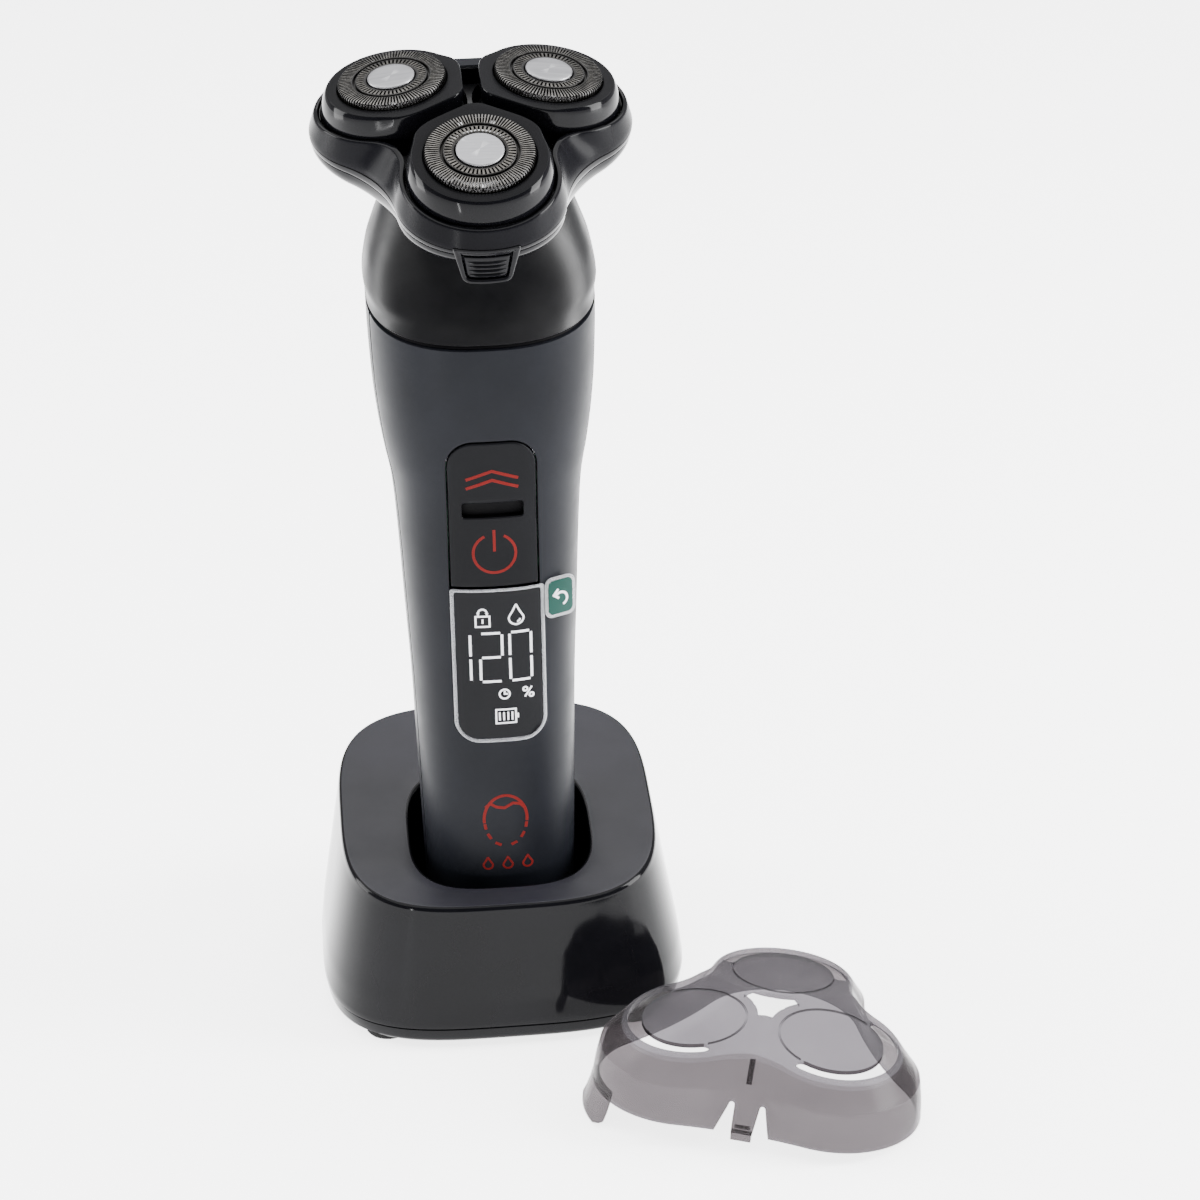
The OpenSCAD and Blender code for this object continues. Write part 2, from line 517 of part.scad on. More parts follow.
// a planet gear with its upright drive pin, which stands in the bottom of a cutter.
// One tooth points at the sun gear, which has a gap in each pod's direction.
module planet(k) at_head() rotate([0, 0, pod_ang[k]]) translate([planet_c, 0, 0])
    rotate([0, 0, 180]) {
        color([0.9, 0.88, 0.8]) translate([0, 0, -15.3]) spur(planet_teeth, 1.8, 0);
        color(steel) translate([0, 0, -13.6]) cylinder(r = 1.6, h = 4.2, $fn = 32);
        color(steel) translate([0, 0, -9.5]) linear_extrude(height = 4.5)
            circle(r = 1.25, $fn = 6);
    }
module planet_gear_1() planet(0);
module planet_gear_2() planet(1);
module planet_gear_3() planet(2);
module gear_cover() color([0.25, 0.25, 0.27]) at_head() translate([0, 0, -13.2])
    difference() {
        linear_extrude(height = 0.9) {
            circle(r = 10.7, $fn = 64);
            for (a = pod_ang) rotate(a) translate([planet_c, 0]) circle(r = 8.7, $fn = 64);
        }
        for (a = pod_ang) rotate(a) translate([planet_c, 0, -1]) cylinder(r = 1.9, h = 3, $fn = 32);
        for (a = pod_ang) rotate(a + 60) translate([8, 0, -1]) cylinder(r = 1.1, h = 3, $fn = 24);
    }
module hinge_pin() color(steel) at_head() translate([-6.6, hinge_y, hinge_z])
    rotate([0, 90, 0]) cylinder(r = 1.0, h = 13.2, $fn = 32);
module head_seal() color(grey) at_head() translate([0, 0, -21.4])
    rotate_extrude($fn = 64) translate([9.7, 0]) circle(r = 0.16, $fn = 16);

// ================= cutter head =================
// rings of the frame: height, lobe radius, waist radius, how far it follows the pods' tilt;
// the outline is nearly straight between the lobes below, and drawn in at the lip
frame_q = [[frame_z, 15.75, 26, 0], [-11.6, 15.9, 25, 0.15], [-10, 15.85, 20, 0.45],
    [-8.2, 15.5, 14, 0.75], [-6.3, 15.05, 10, 0.95], [-5.4, 14.65, 8.1, 1]];
frame_in_r = 14.0;
frame_in_k = 8.7;
function frame_ring(q, r, k) = lobe_ring(pod_c, r, k, q[0], fall = q[3] * tan(pod_tilt));
module cutter_frame() color(black) at_head() {
    loft_wall([for (q = frame_q) frame_ring(q, q[1], q[2])],
              [for (q = frame_q) frame_ring(q, frame_in_r, frame_in_k)]);
    difference() {
        union() {
            translate([0, 18.9, frame_z]) block(9, 3.4, 8.6);
            translate([0, 20.45, frame_z]) block(7.4, 7.1, 2.1);
            translate([-3.7, hinge_y, hinge_z]) rotate([0, 90, 0])
                cylinder(r = 2.1, h = 7.4, $fn = 40);
        }
        translate([0, 0, frame_z - 1]) linear_extrude(height = 12)
            polygon(flat2(lobe_ring(pod_c, frame_in_r + 0.1, frame_in_k - 0.1, 0)));
        translate([-8, hinge_y, hinge_z]) rotate([0, 90, 0])
            cylinder(r = 1.05, h = 16, $fn = 32);
    }
}
module cutter_deck() color([0.12, 0.12, 0.13]) at_head() difference() {
    union() {
        translate([0, 0, -11.9]) linear_extrude(height = 1.2)
            polygon(flat2(lobe_ring(pod_c, 13.75, 8.95, 0)));
        translate([0, 0, -10.8]) linear_extrude(height = 3.2) difference() {
            polygon(flat2(lobe_ring(pod_c, 13.75, 8.95, 0)));
            for (a = pod_ang) rotate(a) translate([pod_c - 0.9, 0])
                polygon(pod_pts(14.4, 13.5));
        }
    }
    for (a = pod_ang) rotate(a) translate([planet_c, 0, -13]) cylinder(r = 3.4, h = 4, $fn = 48);
}
bezel_z = -10.9;
module latch_bezel() color(black) at_head() difference() {
    latch_cut([[16, bezel_z], [16.35, bezel_z], [16.35, bezel_z - 7.2], [10.9, bezel_z - 7.2],
        [13.4, frame_z - 0.02], [16, frame_z - 0.02]], 12.6, 8.8, bezel_z, 7.2);
    latch_ring(9, 19, 9.6, 7.6, bezel_z - 0.8, 5.7);
}
button_z = base_top - 0.05;
module release_button() color(black) at_head() {
    latch_ring(13.9, 15.9, 8.7, 7.4, button_z, 4.5);
    // grip ribs
    for (z = [-13.7, -14.6, -15.5, -16.4])
        latch_ring(15.6, 16.2, 7.4, 7.2, z + 0.2, 0.4);
}

// ---------- pods and cutters ----------
// the flank of a pod flares outward below, so that it stays close to the lip of the frame
pod_q = [[13.3, 12.7, -7.2], [13.6, 13.0, -5.2], [13.3, 13.1, -3.2], [12.95, 13.15, -1.9],
    [12.6, 13.1, -1.35], [12.4, 12.9, -1.15]];
module pod(k) color([0.16, 0.16, 0.18]) at_pod(k) difference() {
    loft_solid([for (q = pod_q) [for (p = pod_pts(q[0], q[1]))
        [p[0] - (q[2] + 1.15) * tan(pod_tilt), p[1], q[2]]]]);
    translate([0, 0, -5.6]) cylinder(r = guard_r + 0.1, h = 8, $fn = 96);
    translate([0, 0, -8]) cylinder(r = guard_r - 0.9, h = 8, $fn = 96);
}
module pod_1() pod(0);
module pod_2() pod(1);
module pod_3() pod(2);

r_out = [guard_r - 3.0, guard_r - 0.35];   // outer track
r_inn = [4.75, guard_r - 3.45];            // inner track
module guard(k) color(steel) at_pod(k) difference() {
    rotate_extrude($fn = 128) polygon([
        [0, -0.6], [4.3, -0.6], [r_inn[0], -0.05], [r_inn[1] - 0.1, 0], [r_inn[1], -0.1],
        [r_inn[1], -0.75], [r_out[0], -0.75], [r_out[0], -0.1], [r_out[0] + 0.1, 0],
        [r_out[1], 0], [guard_r - 0.08, -0.25], [guard_r, -0.7], [guard_r, -5.4],
        [guard_r - 0.5, -5.4], [guard_r - 0.5, -0.8], [r_out[1] - 0.1, -0.5],
        [r_out[0] + 0.5, -0.5], [r_out[0] + 0.5, -1.15], [r_inn[1] - 0.5, -1.15],
        [r_inn[1] - 0.5, -0.5], [r_inn[0] + 0.2, -0.5], [4.1, -1.1], [0, -1.1]]);
    for (i = [0:outer_slots-1]) rotate([0, 0, i * 360 / outer_slots])
        translate([r_out[0] + 0.65, -0.27, -1.5]) cube([4, 0.54, 3]);
    for (i = [0:inner_slots-1]) rotate([0, 0, i * 360 / inner_slots])
        translate([r_inn[0] + 0.45, -0.23, -0.9]) cube([r_inn[1] - r_inn[0] - 1.15, 0.46, 2]);
}
module guard_1() guard(0);
module guard_2() guard(1);
module guard_3() guard(2);
module guard_cap(k) color([0.85, 0.86, 0.88]) at_pod(k) translate([0, 0, -0.6])
    rotate_extrude($fn = 96) polygon([[0, 0], [4.2, 0], [4.45, 0.55], [4.4, 0.75], [4.1, 0.9],
        [0, 0.98]]);
module guard_cap_1() guard_cap(0);
module guard_cap_2() guard_cap(1);
module guard_cap_3() guard_cap(2);
// rotating cutter: two rings of upright blades on a hub that the planet's pin turns
module cutter(k) color(steel) at_pod(k) {
    difference() {
        union() {
            translate([0, 0, -2.6]) cylinder(r = guard_r - 1, h = 0.7, $fn = 64);
            translate([0, 0, -6.2]) cylinder(r = 3.4, h = 3.7, $fn = 48);
        }
        translate([0, 0, -7]) cylinder(r = 2.3, h = 4, $fn = 32);
        for (i = [0:5]) rotate([0, 0, i * 60 + 30]) translate([5.9, 0, -3])
            cylinder(r = 1.2, h = 2, $fn = 24);
    }
    for (i = [0:8]) rotate([0, 0, i * 40]) {
        translate([guard_r - 1.6, 0, -2]) block(1.0, 0.8, 1.2);
        translate([5.6, 0, -2]) block(1.2, 0.8, 0.7);
    }
}
module cutter_1() cutter(0);
module cutter_2() cutter(1);
module cutter_3() cutter(2);

// ================= protective cap =================
// rings of the wall: height, distance of the lobes' middles, lobe radius, waist radius, and
// how far the ring follows the three tilted faces of the top
cap_q = [[0, 17.4, 17.2, 90, 0], [4, 17.3, 17.0, 45, 0], [8.4, 16.9, 16.6, 20, 0.2],
         [8.8, 16.7, 16.3, 16, 0.3], [11, 16.2, 15.2, 15, 0.65], [12.7, 15.8, 14.3, 15, 0.9],
         [13.5, 15.6, 13.8, 15, 1], [14, 15.5, 13.2, 15, 1]];
cap_lobe = [-30, 90, 210];
face_c = 15.6;                         // middle of a face, from the cap's axis
island_r = 10.1;
function cap_ring(q, inset) = lobe_ring(q[1], q[2] - inset, q[3] + inset, q[0] * cap_h / 14,
    fall = q[4] * tan(face_tilt));
foot_len = 5.8;
foot_splay = 1.8;
// the cap stands upright but leaning, on the rim of two lobes and the foot of the third
cap_lean = 3.4;
cap_roll = 4.2;
cap_up = 16.62;
module at_cap() translate([cap_x, -cap_fwd, cap_up]) rotate([0, 0, cap_yaw])
    rotate([-cap_lean, 0, 0]) rotate([0, cap_roll, 0]) translate([0, 0, -cap_h]) children();
module arc_slot(r0, r1, a, h) rotate([0, 0, -a / 2]) rotate_extrude(angle = a, $fn = 96)
    translate([r0, 0]) square([r1 - r0, h]);
module protective_cap() color([0.12, 0.12, 0.13]) at_cap() {
    difference() {
        union() {
            rotate([0, 0, -60]) loft_wall([for (q = cap_q) cap_ring(q, 0)],
                [for (q = cap_q) cap_ring(q, q[0] > 13.9 ? 0.8 : cap_wall)]);
            for (a = cap_lobe) rotate([0, 0, a]) intersection() {
                translate([face_c, 0, cap_h - 0.1]) rotate([0, face_tilt, 0])
                    translate([-face_c, 0, -1.4]) linear_extrude(height = 1.4)
                    rotate(-30) polygon(flat2(lobe_ring(15.5, 12.9, 15.3, 0)));
                linear_extrude(height = 30) polygon([[0, 0], [40, -40 * tan(60)],
                    [40, 40 * tan(60)]]);
            }
            // upright rib behind the waist at the front
            rotate([0, 0, -90]) translate([0, 0.5, 0]) rotate([90, 0, 0])
                linear_extrude(height = 1)
                polygon([[16.2, 12.8], [17.9, 12.8], [20.4, 8.4], [19, 8], [16.2, 11.6]]);
        }
        for (a = cap_lobe) rotate([0, 0, a]) translate([face_c, 0, cap_h - 6])
            arc_slot(island_r, island_r + 1.9, 165, 12);
        // middle hole: a triangle with hollow sides
        translate([0, 0, cap_h - 6]) linear_extrude(height = 12) difference() {
            circle(r = 5.8, $fn = 64);
            for (a = cap_lobe) rotate(a) translate([face_c, 0]) circle(r = 12.3, $fn = 96);
        }
        // two notches beside the snap tab at the front waist
        for (q = [[-5.5, -2, -1.9, -3], [2, 5.4, 4.1, 3]]) rotate([0, 0, -90])
            translate([10, 0, -0.5]) rotate([90, 0, 90]) linear_extrude(height = 20)
                polygon([[q[0], 0], [q[1], 0], [q[2], 6.4], [q[3], 6.4]]);
    }
    // lower end of the snap tab
    rotate([0, 0, -90]) translate([23.5, -1.95, -1.6]) cube([1.3, 3.9, 2.2]);
    // foot that clips under the head
    rotate([0, 0, 210]) translate([17.4, 0, 0]) rotate([0, 0, -22])
        rotate_extrude(angle = 38, $fn = 128)
            polygon([[15.9, 1.5], [17.1, 1.5], [17.1 + foot_splay, -foot_len],
                     [15.9 + foot_splay, -foot_len]]);
}

stand_feet();
stand_base_plate();
stand_shell();
stand_screws();
stand_board();
stand_board_parts();
stand_inlet();
stand_pins();
bottom_cap();
charge_contacts();
front_shell();
rear_shell();
chassis();
battery();
battery_tabs();
main_board();
board_screws();
display_module();
tact_switches();
keypad();
display_window();
display_film();
film_tab();
shoulder_collar();
collar_seal();
motor_mount();
motor_can();
motor_cap();
motor_coupling();
head_seal();
head_base();
sun_gear();
planet_gear_1();
planet_gear_2();
planet_gear_3();
gear_cover();
hinge_pin();
cutter_frame();
cutter_deck();
latch_bezel();
release_button();
pod_1();
pod_2();
pod_3();
guard_1();
guard_2();
guard_3();
guard_cap_1();
guard_cap_2();
guard_cap_3();
cutter_1();
cutter_2();
cutter_3();
protective_cap();
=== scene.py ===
import json
import math

import bmesh
import bpy
from mathutils import Matrix, Vector


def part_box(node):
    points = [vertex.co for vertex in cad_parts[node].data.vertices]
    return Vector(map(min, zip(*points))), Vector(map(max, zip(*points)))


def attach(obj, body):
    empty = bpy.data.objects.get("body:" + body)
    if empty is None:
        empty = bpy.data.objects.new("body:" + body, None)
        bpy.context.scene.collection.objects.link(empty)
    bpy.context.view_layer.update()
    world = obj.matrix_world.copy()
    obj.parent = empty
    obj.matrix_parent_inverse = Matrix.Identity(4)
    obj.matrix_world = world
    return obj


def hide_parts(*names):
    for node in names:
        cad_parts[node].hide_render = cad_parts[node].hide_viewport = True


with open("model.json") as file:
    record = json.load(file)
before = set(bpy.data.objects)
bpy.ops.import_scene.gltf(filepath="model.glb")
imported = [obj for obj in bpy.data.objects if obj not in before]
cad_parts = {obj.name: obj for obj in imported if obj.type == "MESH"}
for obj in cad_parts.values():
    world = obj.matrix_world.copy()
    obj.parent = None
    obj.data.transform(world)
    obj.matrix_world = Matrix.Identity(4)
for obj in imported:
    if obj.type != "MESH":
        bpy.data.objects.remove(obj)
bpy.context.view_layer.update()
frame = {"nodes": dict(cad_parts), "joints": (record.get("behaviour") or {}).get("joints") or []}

MM = 0.001
COL = bpy.context.scene.collection
J = {j["name"]: j for j in frame["joints"]}

# ---------------------------------------------------------------- shape functions (millimetres)


def smooth_table(rows):
    """Monotone cubic through the rows (x, y)."""
    xs, ys = [r[0] for r in rows], [r[1] for r in rows]
    d = [(ys[i + 1] - ys[i]) / (xs[i + 1] - xs[i]) for i in range(len(xs) - 1)]
    m = [d[0]] + [0.0 if a * b <= 0 else 2 * a * b / (a + b) for a, b in zip(d, d[1:])] + [d[-1]]

    def value(x):
        x = min(max(x, xs[0]), xs[-1])
        i = next((k for k in range(len(d)) if x <= xs[k + 1]), len(d) - 1)
        h = xs[i + 1] - xs[i]
        t = (x - xs[i]) / h
        return ((1 + 2 * t) * (1 - t) ** 2 * ys[i] + t * (1 - t) ** 2 * h * m[i]
                + t * t * (3 - 2 * t) * ys[i + 1] + t * t * (t - 1) * h * m[i + 1])
    return value


def smooth01(t):
    t = min(max(t, 0.0), 1.0)
    return t * t * (3 - 2 * t)


def mix(a, b, t):
    return tuple(u + (v - u) * t for u, v in zip(a, b))


def spow(v, p):
    return math.copysign(abs(v) ** p, v)


def superellipse(a, b, n, deg):
    t = math.radians(deg)
    return a * spow(math.cos(t), 2 / n), b * spow(math.sin(t), 2 / n)


def lobe_rho(phi, c, r, k):
    """Distance to a three-lobed outline, phi from the middle of a lobe (radians)."""
    s60 = math.sin(math.pi / 3)
    f = c / 2 + math.sqrt((r + k) ** 2 - (c * s60) ** 2)
    turn = math.atan2(f * s60 * r / (r + k), c + (f / 2 - c) * r / (r + k))
    if phi <= turn:
        return c * math.cos(phi) + math.sqrt(max(r * r - (c * math.sin(phi)) ** 2, 0))
    g = math.pi / 3 - phi
    return f * math.cos(g) - math.sqrt(max(k * k - (f * math.sin(g)) ** 2, 0))


def lobe_ring(c, r, k, z, n=180, blend=1.0, round_r=0.0, fall=0.0, start=-90):
    out = []
    for i in range(n):
        deg = i * 360 / n
        phi = math.radians(abs((deg - start + 60) % 120 - 60))
        d = lobe_rho(phi, c, r, k) * blend + round_r * (1 - blend)
        t = math.radians(deg)
        out.append((d * math.cos(t), d * math.sin(t), z - fall * (d * math.cos(phi) - c)))
    return out


# ---------------------------------------------------------------- mesh building


def torus_faces(m, n):
    """Quads over m rings of n points, closed both ways."""
    return [(i * n + j, i * n + (j + 1) % n, (i + 1) % m * n + (j + 1) % n, (i + 1) % m * n + j)
            for i in range(m) for j in range(n)]


def tube_faces(m, n, caps=True):
    faces = [(i * n + j, i * n + (j + 1) % n, (i + 1) * n + (j + 1) % n, (i + 1) * n + j)
             for i in range(m - 1) for j in range(n)]
    if caps:
        faces += [tuple(range(n - 1, -1, -1)), tuple((m - 1) * n + j for j in range(n))]
    return faces


def make(name, verts, faces, body, mats, slot=None, node=(), sharp=30, at=None, index=None,
         bevel=0.0):
    """A mesh piece from points in millimetres; at is its placing, in metres."""
    me = bpy.data.meshes.new(name)
    me.from_pydata([(x * MM, y * MM, z * MM) for x, y, z in verts], [], faces)
    for mt in mats:
        me.materials.append(mt)
    if index:
        for p, i in zip(me.polygons, index):
            p.material_index = i
    bm = bmesh.new()
    bm.from_mesh(me)
    bmesh.ops.recalc_face_normals(bm, faces=bm.faces)
    bm.to_mesh(me)
    bm.free()
    me.polygons.foreach_set("use_smooth", [True] * len(me.polygons))
    me.set_sharp_from_angle(angle=math.radians(sharp))
    if at is not None:
        me.transform(at)
    ob = bpy.data.objects.new(name, me)
    COL.objects.link(ob)
    if bevel:
        bv = ob.modifiers.new("edge", "BEVEL")
        bv.width, bv.segments, bv.limit_method = bevel * MM, 2, "ANGLE"
        bv.angle_limit = math.radians(40)
        bv.harden_normals = True
    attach(ob, body)
    if node:
        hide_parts(*([node] if isinstance(node, str) else node))
    return ob


def loop_piece(name, rings, body, mats, bands=None, **kw):
    """Rings joined into a closed skin that comes back to its start; bands give the material."""
    m, n = len(rings), len(rings[0])
    verts = [p for r in rings for p in r]
    index = [bands[i] for i in range(m) for _ in range(n)] if bands else None
    return make(name, verts, torus_faces(m, n), body, mats, index=index, **kw)


def capped_piece(name, rings, body, mats, bands=None, **kw):
    m, n = len(rings), len(rings[0])
    verts = [p for r in rings for p in r]
    index = None
    if bands:
        index = [bands[i] for i in range(m - 1) for _ in range(n)] + [bands[0], bands[m - 2]]
    return make(name, verts, tube_faces(m, n), body, mats, index=index, **kw)


def cut(ob, cutters, at=Matrix()):
    """Takes closed cutter meshes (lists of verts, faces in mm, in the frame at) out of a piece."""
    made = []
    for k, (verts, faces) in enumerate(cutters):
        me = bpy.data.meshes.new(f"{ob.name}_cut{k}")
        me.from_pydata([(x * MM, y * MM, z * MM) for x, y, z in verts], [], faces)
        bm = bmesh.new()
        bm.from_mesh(me)
        bmesh.ops.recalc_face_normals(bm, faces=bm.faces)
        bm.to_mesh(me)
        bm.free()
        me.transform(at)
        co = bpy.data.objects.new(me.name, me)
        COL.objects.link(co)
        md = ob.modifiers.new(f"cut{k}", "BOOLEAN")
        md.operation, md.solver, md.object = "DIFFERENCE", "EXACT", co
        made.append(co)
    bpy.context.view_layer.update()
    dg = bpy.context.evaluated_depsgraph_get()
    me = bpy.data.meshes.new_from_object(ob.evaluated_get(dg))
    ob.modifiers.clear()
    ob.data = me
    for co in made:
        bpy.data.objects.remove(co)
    me.polygons.foreach_set("use_smooth", [True] * len(me.polygons))
    me.set_sharp_from_angle(angle=math.radians(28))
    return ob


def prism(outline, a, b, place=lambda x, y, z: (x, y, z)):
    """Closed cutter: an outline (x, y) pushed from z = a to b, through place()."""
    n = len(outline)
    verts = [place(x, y, a) for x, y in outline] + [place(x, y, b) for x, y in outline]
    return verts, tube_faces(2, n)


def lathe(profile, n=128):
    """Rings of a profile (radius, height) turned round z."""
    return [[(r * math.cos(2 * math.pi * j / n), r * math.sin(2 * math.pi * j / n), z)
             for j in range(n)] for r, z in profile]


# ---------------------------------------------------------------- materials


def new_material(name):
    mt = bpy.data.materials.new(name)
    mt.use_nodes = True
    nt = mt.node_tree
    return mt, nt, nt.nodes["Principled BSDF"]


def link(nt, a, b):
    nt.links.new(a, b)


def noise(nt, scale, detail=3.0, rough=0.55, stretch=None):
    tc = nt.nodes.new("ShaderNodeTexCoord")
    n = nt.nodes.new("ShaderNodeTexNoise")
    n.inputs["Scale"].default_value = scale
    n.inputs["Detail"].default_value = detail
    n.inputs["Roughness"].default_value = rough
    if stretch:
        mp = nt.nodes.new("ShaderNodeMapping")
        mp.inputs["Scale"].default_value = stretch
        link(nt, tc.outputs["Object"], mp.inputs["Vector"])
        link(nt, mp.outputs["Vector"], n.inputs["Vector"])
    else:
        link(nt, tc.outputs["Object"], n.inputs["Vector"])
    return n.outputs["Fac"]


def ranged(nt, fac, lo, hi, a=0.35, b=0.65):
    r = nt.nodes.new("ShaderNodeMapRange")
    for key, v in (("From Min", a), ("From Max", b), ("To Min", lo), ("To Max", hi)):
        r.inputs[key].default_value = v
    link(nt, fac, r.inputs["Value"])
    return r.outputs["Result"]


def tint(nt, fac, c0, c1, p0=0.3, p1=0.7):
    r = nt.nodes.new("ShaderNodeValToRGB")
    r.color_ramp.elements[0].position, r.color_ramp.elements[1].position = p0, p1
    r.color_ramp.elements[0].color = (*c0, 1)
    r.color_ramp.elements[1].color = (*c1, 1)
    link(nt, fac, r.inputs["Fac"])
    return r.outputs["Color"]


def worn(nt, base, edge, amount=0.5):
    """Lightens the outer edges a little, broken up by a noise."""
    geo = nt.nodes.new("ShaderNodeNewGeometry")
    ridge = ranged(nt, geo.outputs["Pointiness"], 0.0, amount, 0.51, 0.62)
    spots = ranged(nt, noise(nt, 900), 0.2, 1.0, 0.3, 0.75)
    mul = nt.nodes.new("ShaderNodeMath")
    mul.operation = "MULTIPLY"
    link(nt, ridge, mul.inputs[0])
    link(nt, spots, mul.inputs[1])
    mx = nt.nodes.new("ShaderNodeMix")
    mx.data_type = "RGBA"
    mx.inputs[7].default_value = (*edge, 1)
    link(nt, mul.outputs[0], mx.inputs[0])
    link(nt, base, mx.inputs[6])
    return mx.outputs[2]


def bump(nt, parts):
    """parts: (height output, distance in mm, strength), chained."""
    last = None
    for height, dist, strength in parts:
        b = nt.nodes.new("ShaderNodeBump")
        b.inputs["Distance"].default_value = dist * MM
        b.inputs["Strength"].default_value = strength
        link(nt, height, b.inputs["Height"])
        if last:
            link(nt, last, b.inputs["Normal"])
        last = b.outputs["Normal"]
    return last


def plastic(name, dark, light, rough, grain=2600, depth=0.02, strength=0.35, coat=0.0,
            coat_rough=0.1, edge=0.25, spec=0.5, wave=0.0):
    """Moulded plastic: mottled colour, patchy roughness, fine grain, slightly worn edges."""
    mt, nt, bs = new_material(name)
    base = tint(nt, noise(nt, 45, 4), dark, light)
    link(nt, worn(nt, base, tuple(min(1, c * 2.2 + 0.02) for c in light), edge),
         bs.inputs["Base Color"])
    link(nt, ranged(nt, noise(nt, 120, 5, 0.6), rough[0], rough[1]), bs.inputs["Roughness"])
    parts = [(noise(nt, grain, 2), depth, strength)]
    if wave:
        parts.append((noise(nt, 60, 2), wave, 0.3))
    link(nt, bump(nt, parts), bs.inputs["Normal"])
    bs.inputs["Specular IOR Level"].default_value = spec
    bs.inputs["Coat Weight"].default_value = coat
    bs.inputs["Coat Roughness"].default_value = coat_rough
    return mt


def metal(name, dark, light, rough, stretch=(60, 1, 1), scale=30, depth=0.01, edge=0.4):
    mt, nt, bs = new_material(name)
    lines = noise(nt, scale, 6, 0.7, stretch)
    link(nt, worn(nt, tint(nt, lines, dark, light), (0.95, 0.95, 0.96), edge),
         bs.inputs["Base Color"])
    link(nt, ranged(nt, lines, rough[0], rough[1]), bs.inputs["Roughness"])
    link(nt, bump(nt, [(lines, depth, 0.5), (noise(nt, 1800, 2), 0.006, 0.3)]),
         bs.inputs["Normal"])
    bs.inputs["Metallic"].default_value = 1.0
    return mt


def translucent(name, dark, light, see, rough, grain=1500, spec=0.5, streak=None,
                opaque=(0.0, 0.9)):
    """Smoky see-through plastic: a tinted clear part mixed with a glossy pigmented one."""
    mt, nt, bs = new_material(name)
    out = nt.nodes["Material Output"]
    clear = nt.nodes.new("ShaderNodeBsdfTransparent")
    soft = noise(nt, 50, 4, 0.6, streak)
    link(nt, tint(nt, soft, tuple(c * 0.94 for c in see), see), clear.inputs["Color"])
    link(nt, tint(nt, soft, dark, light), bs.inputs["Base Color"])
    link(nt, ranged(nt, noise(nt, 150, 4), rough[0], rough[1]), bs.inputs["Roughness"])
    link(nt, bump(nt, [(noise(nt, grain, 2), 0.01, 0.25), (noise(nt, 40, 2, 0.5, streak), 0.05, 0.2)]),
         bs.inputs["Normal"])
    bs.inputs["Specular IOR Level"].default_value = spec
    lw = nt.nodes.new("ShaderNodeLayerWeight")
    lw.inputs["Blend"].default_value = 0.35
    keep = ranged(nt, lw.outputs["Facing"], 0.18, 0.95, *opaque)
    mx = nt.nodes.new("ShaderNodeMixShader")
    link(nt, keep, mx.inputs["Fac"])
    link(nt, clear.outputs[0], mx.inputs[1])
    link(nt, bs.outputs[0], mx.inputs[2])
    link(nt, mx.outputs[0], out.inputs["Surface"])
    return mt


GLOSS = plastic("gloss_black", (0.0018, 0.0018, 0.0024), (0.0035, 0.0035, 0.0045), (0.06, 0.12),
                grain=900, depth=0.004, strength=0.2, coat_rough=0.04, edge=0.05, spec=0.1,
                wave=0.02)
SATIN = plastic("satin_black", (0.0043, 0.0048, 0.0066), (0.0068, 0.0075, 0.0102), (0.34, 0.42),
                grain=3000, depth=0.012, strength=0.3, edge=0.05, spec=0.07)
SLATE = plastic("satin_slate", (0.0095, 0.0093, 0.0125), (0.0145, 0.0142, 0.019), (0.30, 0.40),
                grain=3200, depth=0.012, strength=0.35, edge=0.06, spec=0.24)
PLATE = plastic("pod_slate", (0.0024, 0.0024, 0.003), (0.0045, 0.0045, 0.0055), (0.28, 0.38),
                grain=2400, depth=0.01, strength=0.3, edge=0.1, spec=0.04)
FRAME = plastic("frame_black", (0.0022, 0.0022, 0.003), (0.004, 0.004, 0.0052), (0.20, 0.28),
                grain=1200, depth=0.005, strength=0.2, edge=0.08, spec=0.04)
MATTE = plastic("matte_black", (0.0016, 0.0016, 0.0021), (0.003, 0.003, 0.0037), (0.34, 0.44),
                grain=3600, depth=0.018, strength=0.5, edge=0.03, spec=0.26)
# painted shade: the darkest, least shiny black, put in recesses and under the head where shade falls
# (keypad slot, collar groove and deck, frame step and inner wall, pod walls round the guards); the
# hidden inner parts take it as their own colour
DARK_PARTS_AND_RECESS_SHADE = plastic("dark_parts_and_painted_recess_shade", (0.001, 0.001, 0.0013), (0.002, 0.002, 0.0025), (0.5, 0.65),
               grain=1500, depth=0.02, strength=0.4, edge=0.0, spec=0.05)
RUBBER = plastic("rubber", (0.008, 0.008, 0.008), (0.013, 0.013, 0.013), (0.7, 0.85),
                 grain=1400, depth=0.04, strength=0.6, edge=0.05, spec=0.1)
PANEL = plastic("panel_black", (0.0028, 0.0030, 0.0038), (0.0044, 0.0047, 0.0058), (0.16, 0.24),
                grain=1600, depth=0.006, strength=0.2, edge=0.02, spec=0.07)
KEY = plastic("keypad_black", (0.0019, 0.0020, 0.0027), (0.0032, 0.0034, 0.0044), (0.32, 0.40),
              grain=2600, depth=0.012, strength=0.3, edge=0.05, spec=0.06)
RED = plastic("mark_red", (0.085, 0.005, 0.0045), (0.125, 0.008, 0.007), (0.45, 0.6),
              grain=2200, depth=0.01, strength=0.4, edge=0.03, spec=0.06)
WHITE = plastic("mark_white", (0.66, 0.66, 0.69), (0.80, 0.80, 0.83), (0.4, 0.5),
                grain=2200, depth=0.006, strength=0.3, edge=0.0, spec=0.2)
GREEN = plastic("tab_green", (0.0025, 0.029, 0.022), (0.004, 0.043, 0.033), (0.25, 0.35),
                grain=1500, depth=0.01, strength=0.2, edge=0.04, spec=0.12)
COMB = metal("comb_steel", (0.020, 0.019, 0.017), (0.12, 0.113, 0.102), (0.20, 0.32), None, 700,
             0.004, edge=0.12)
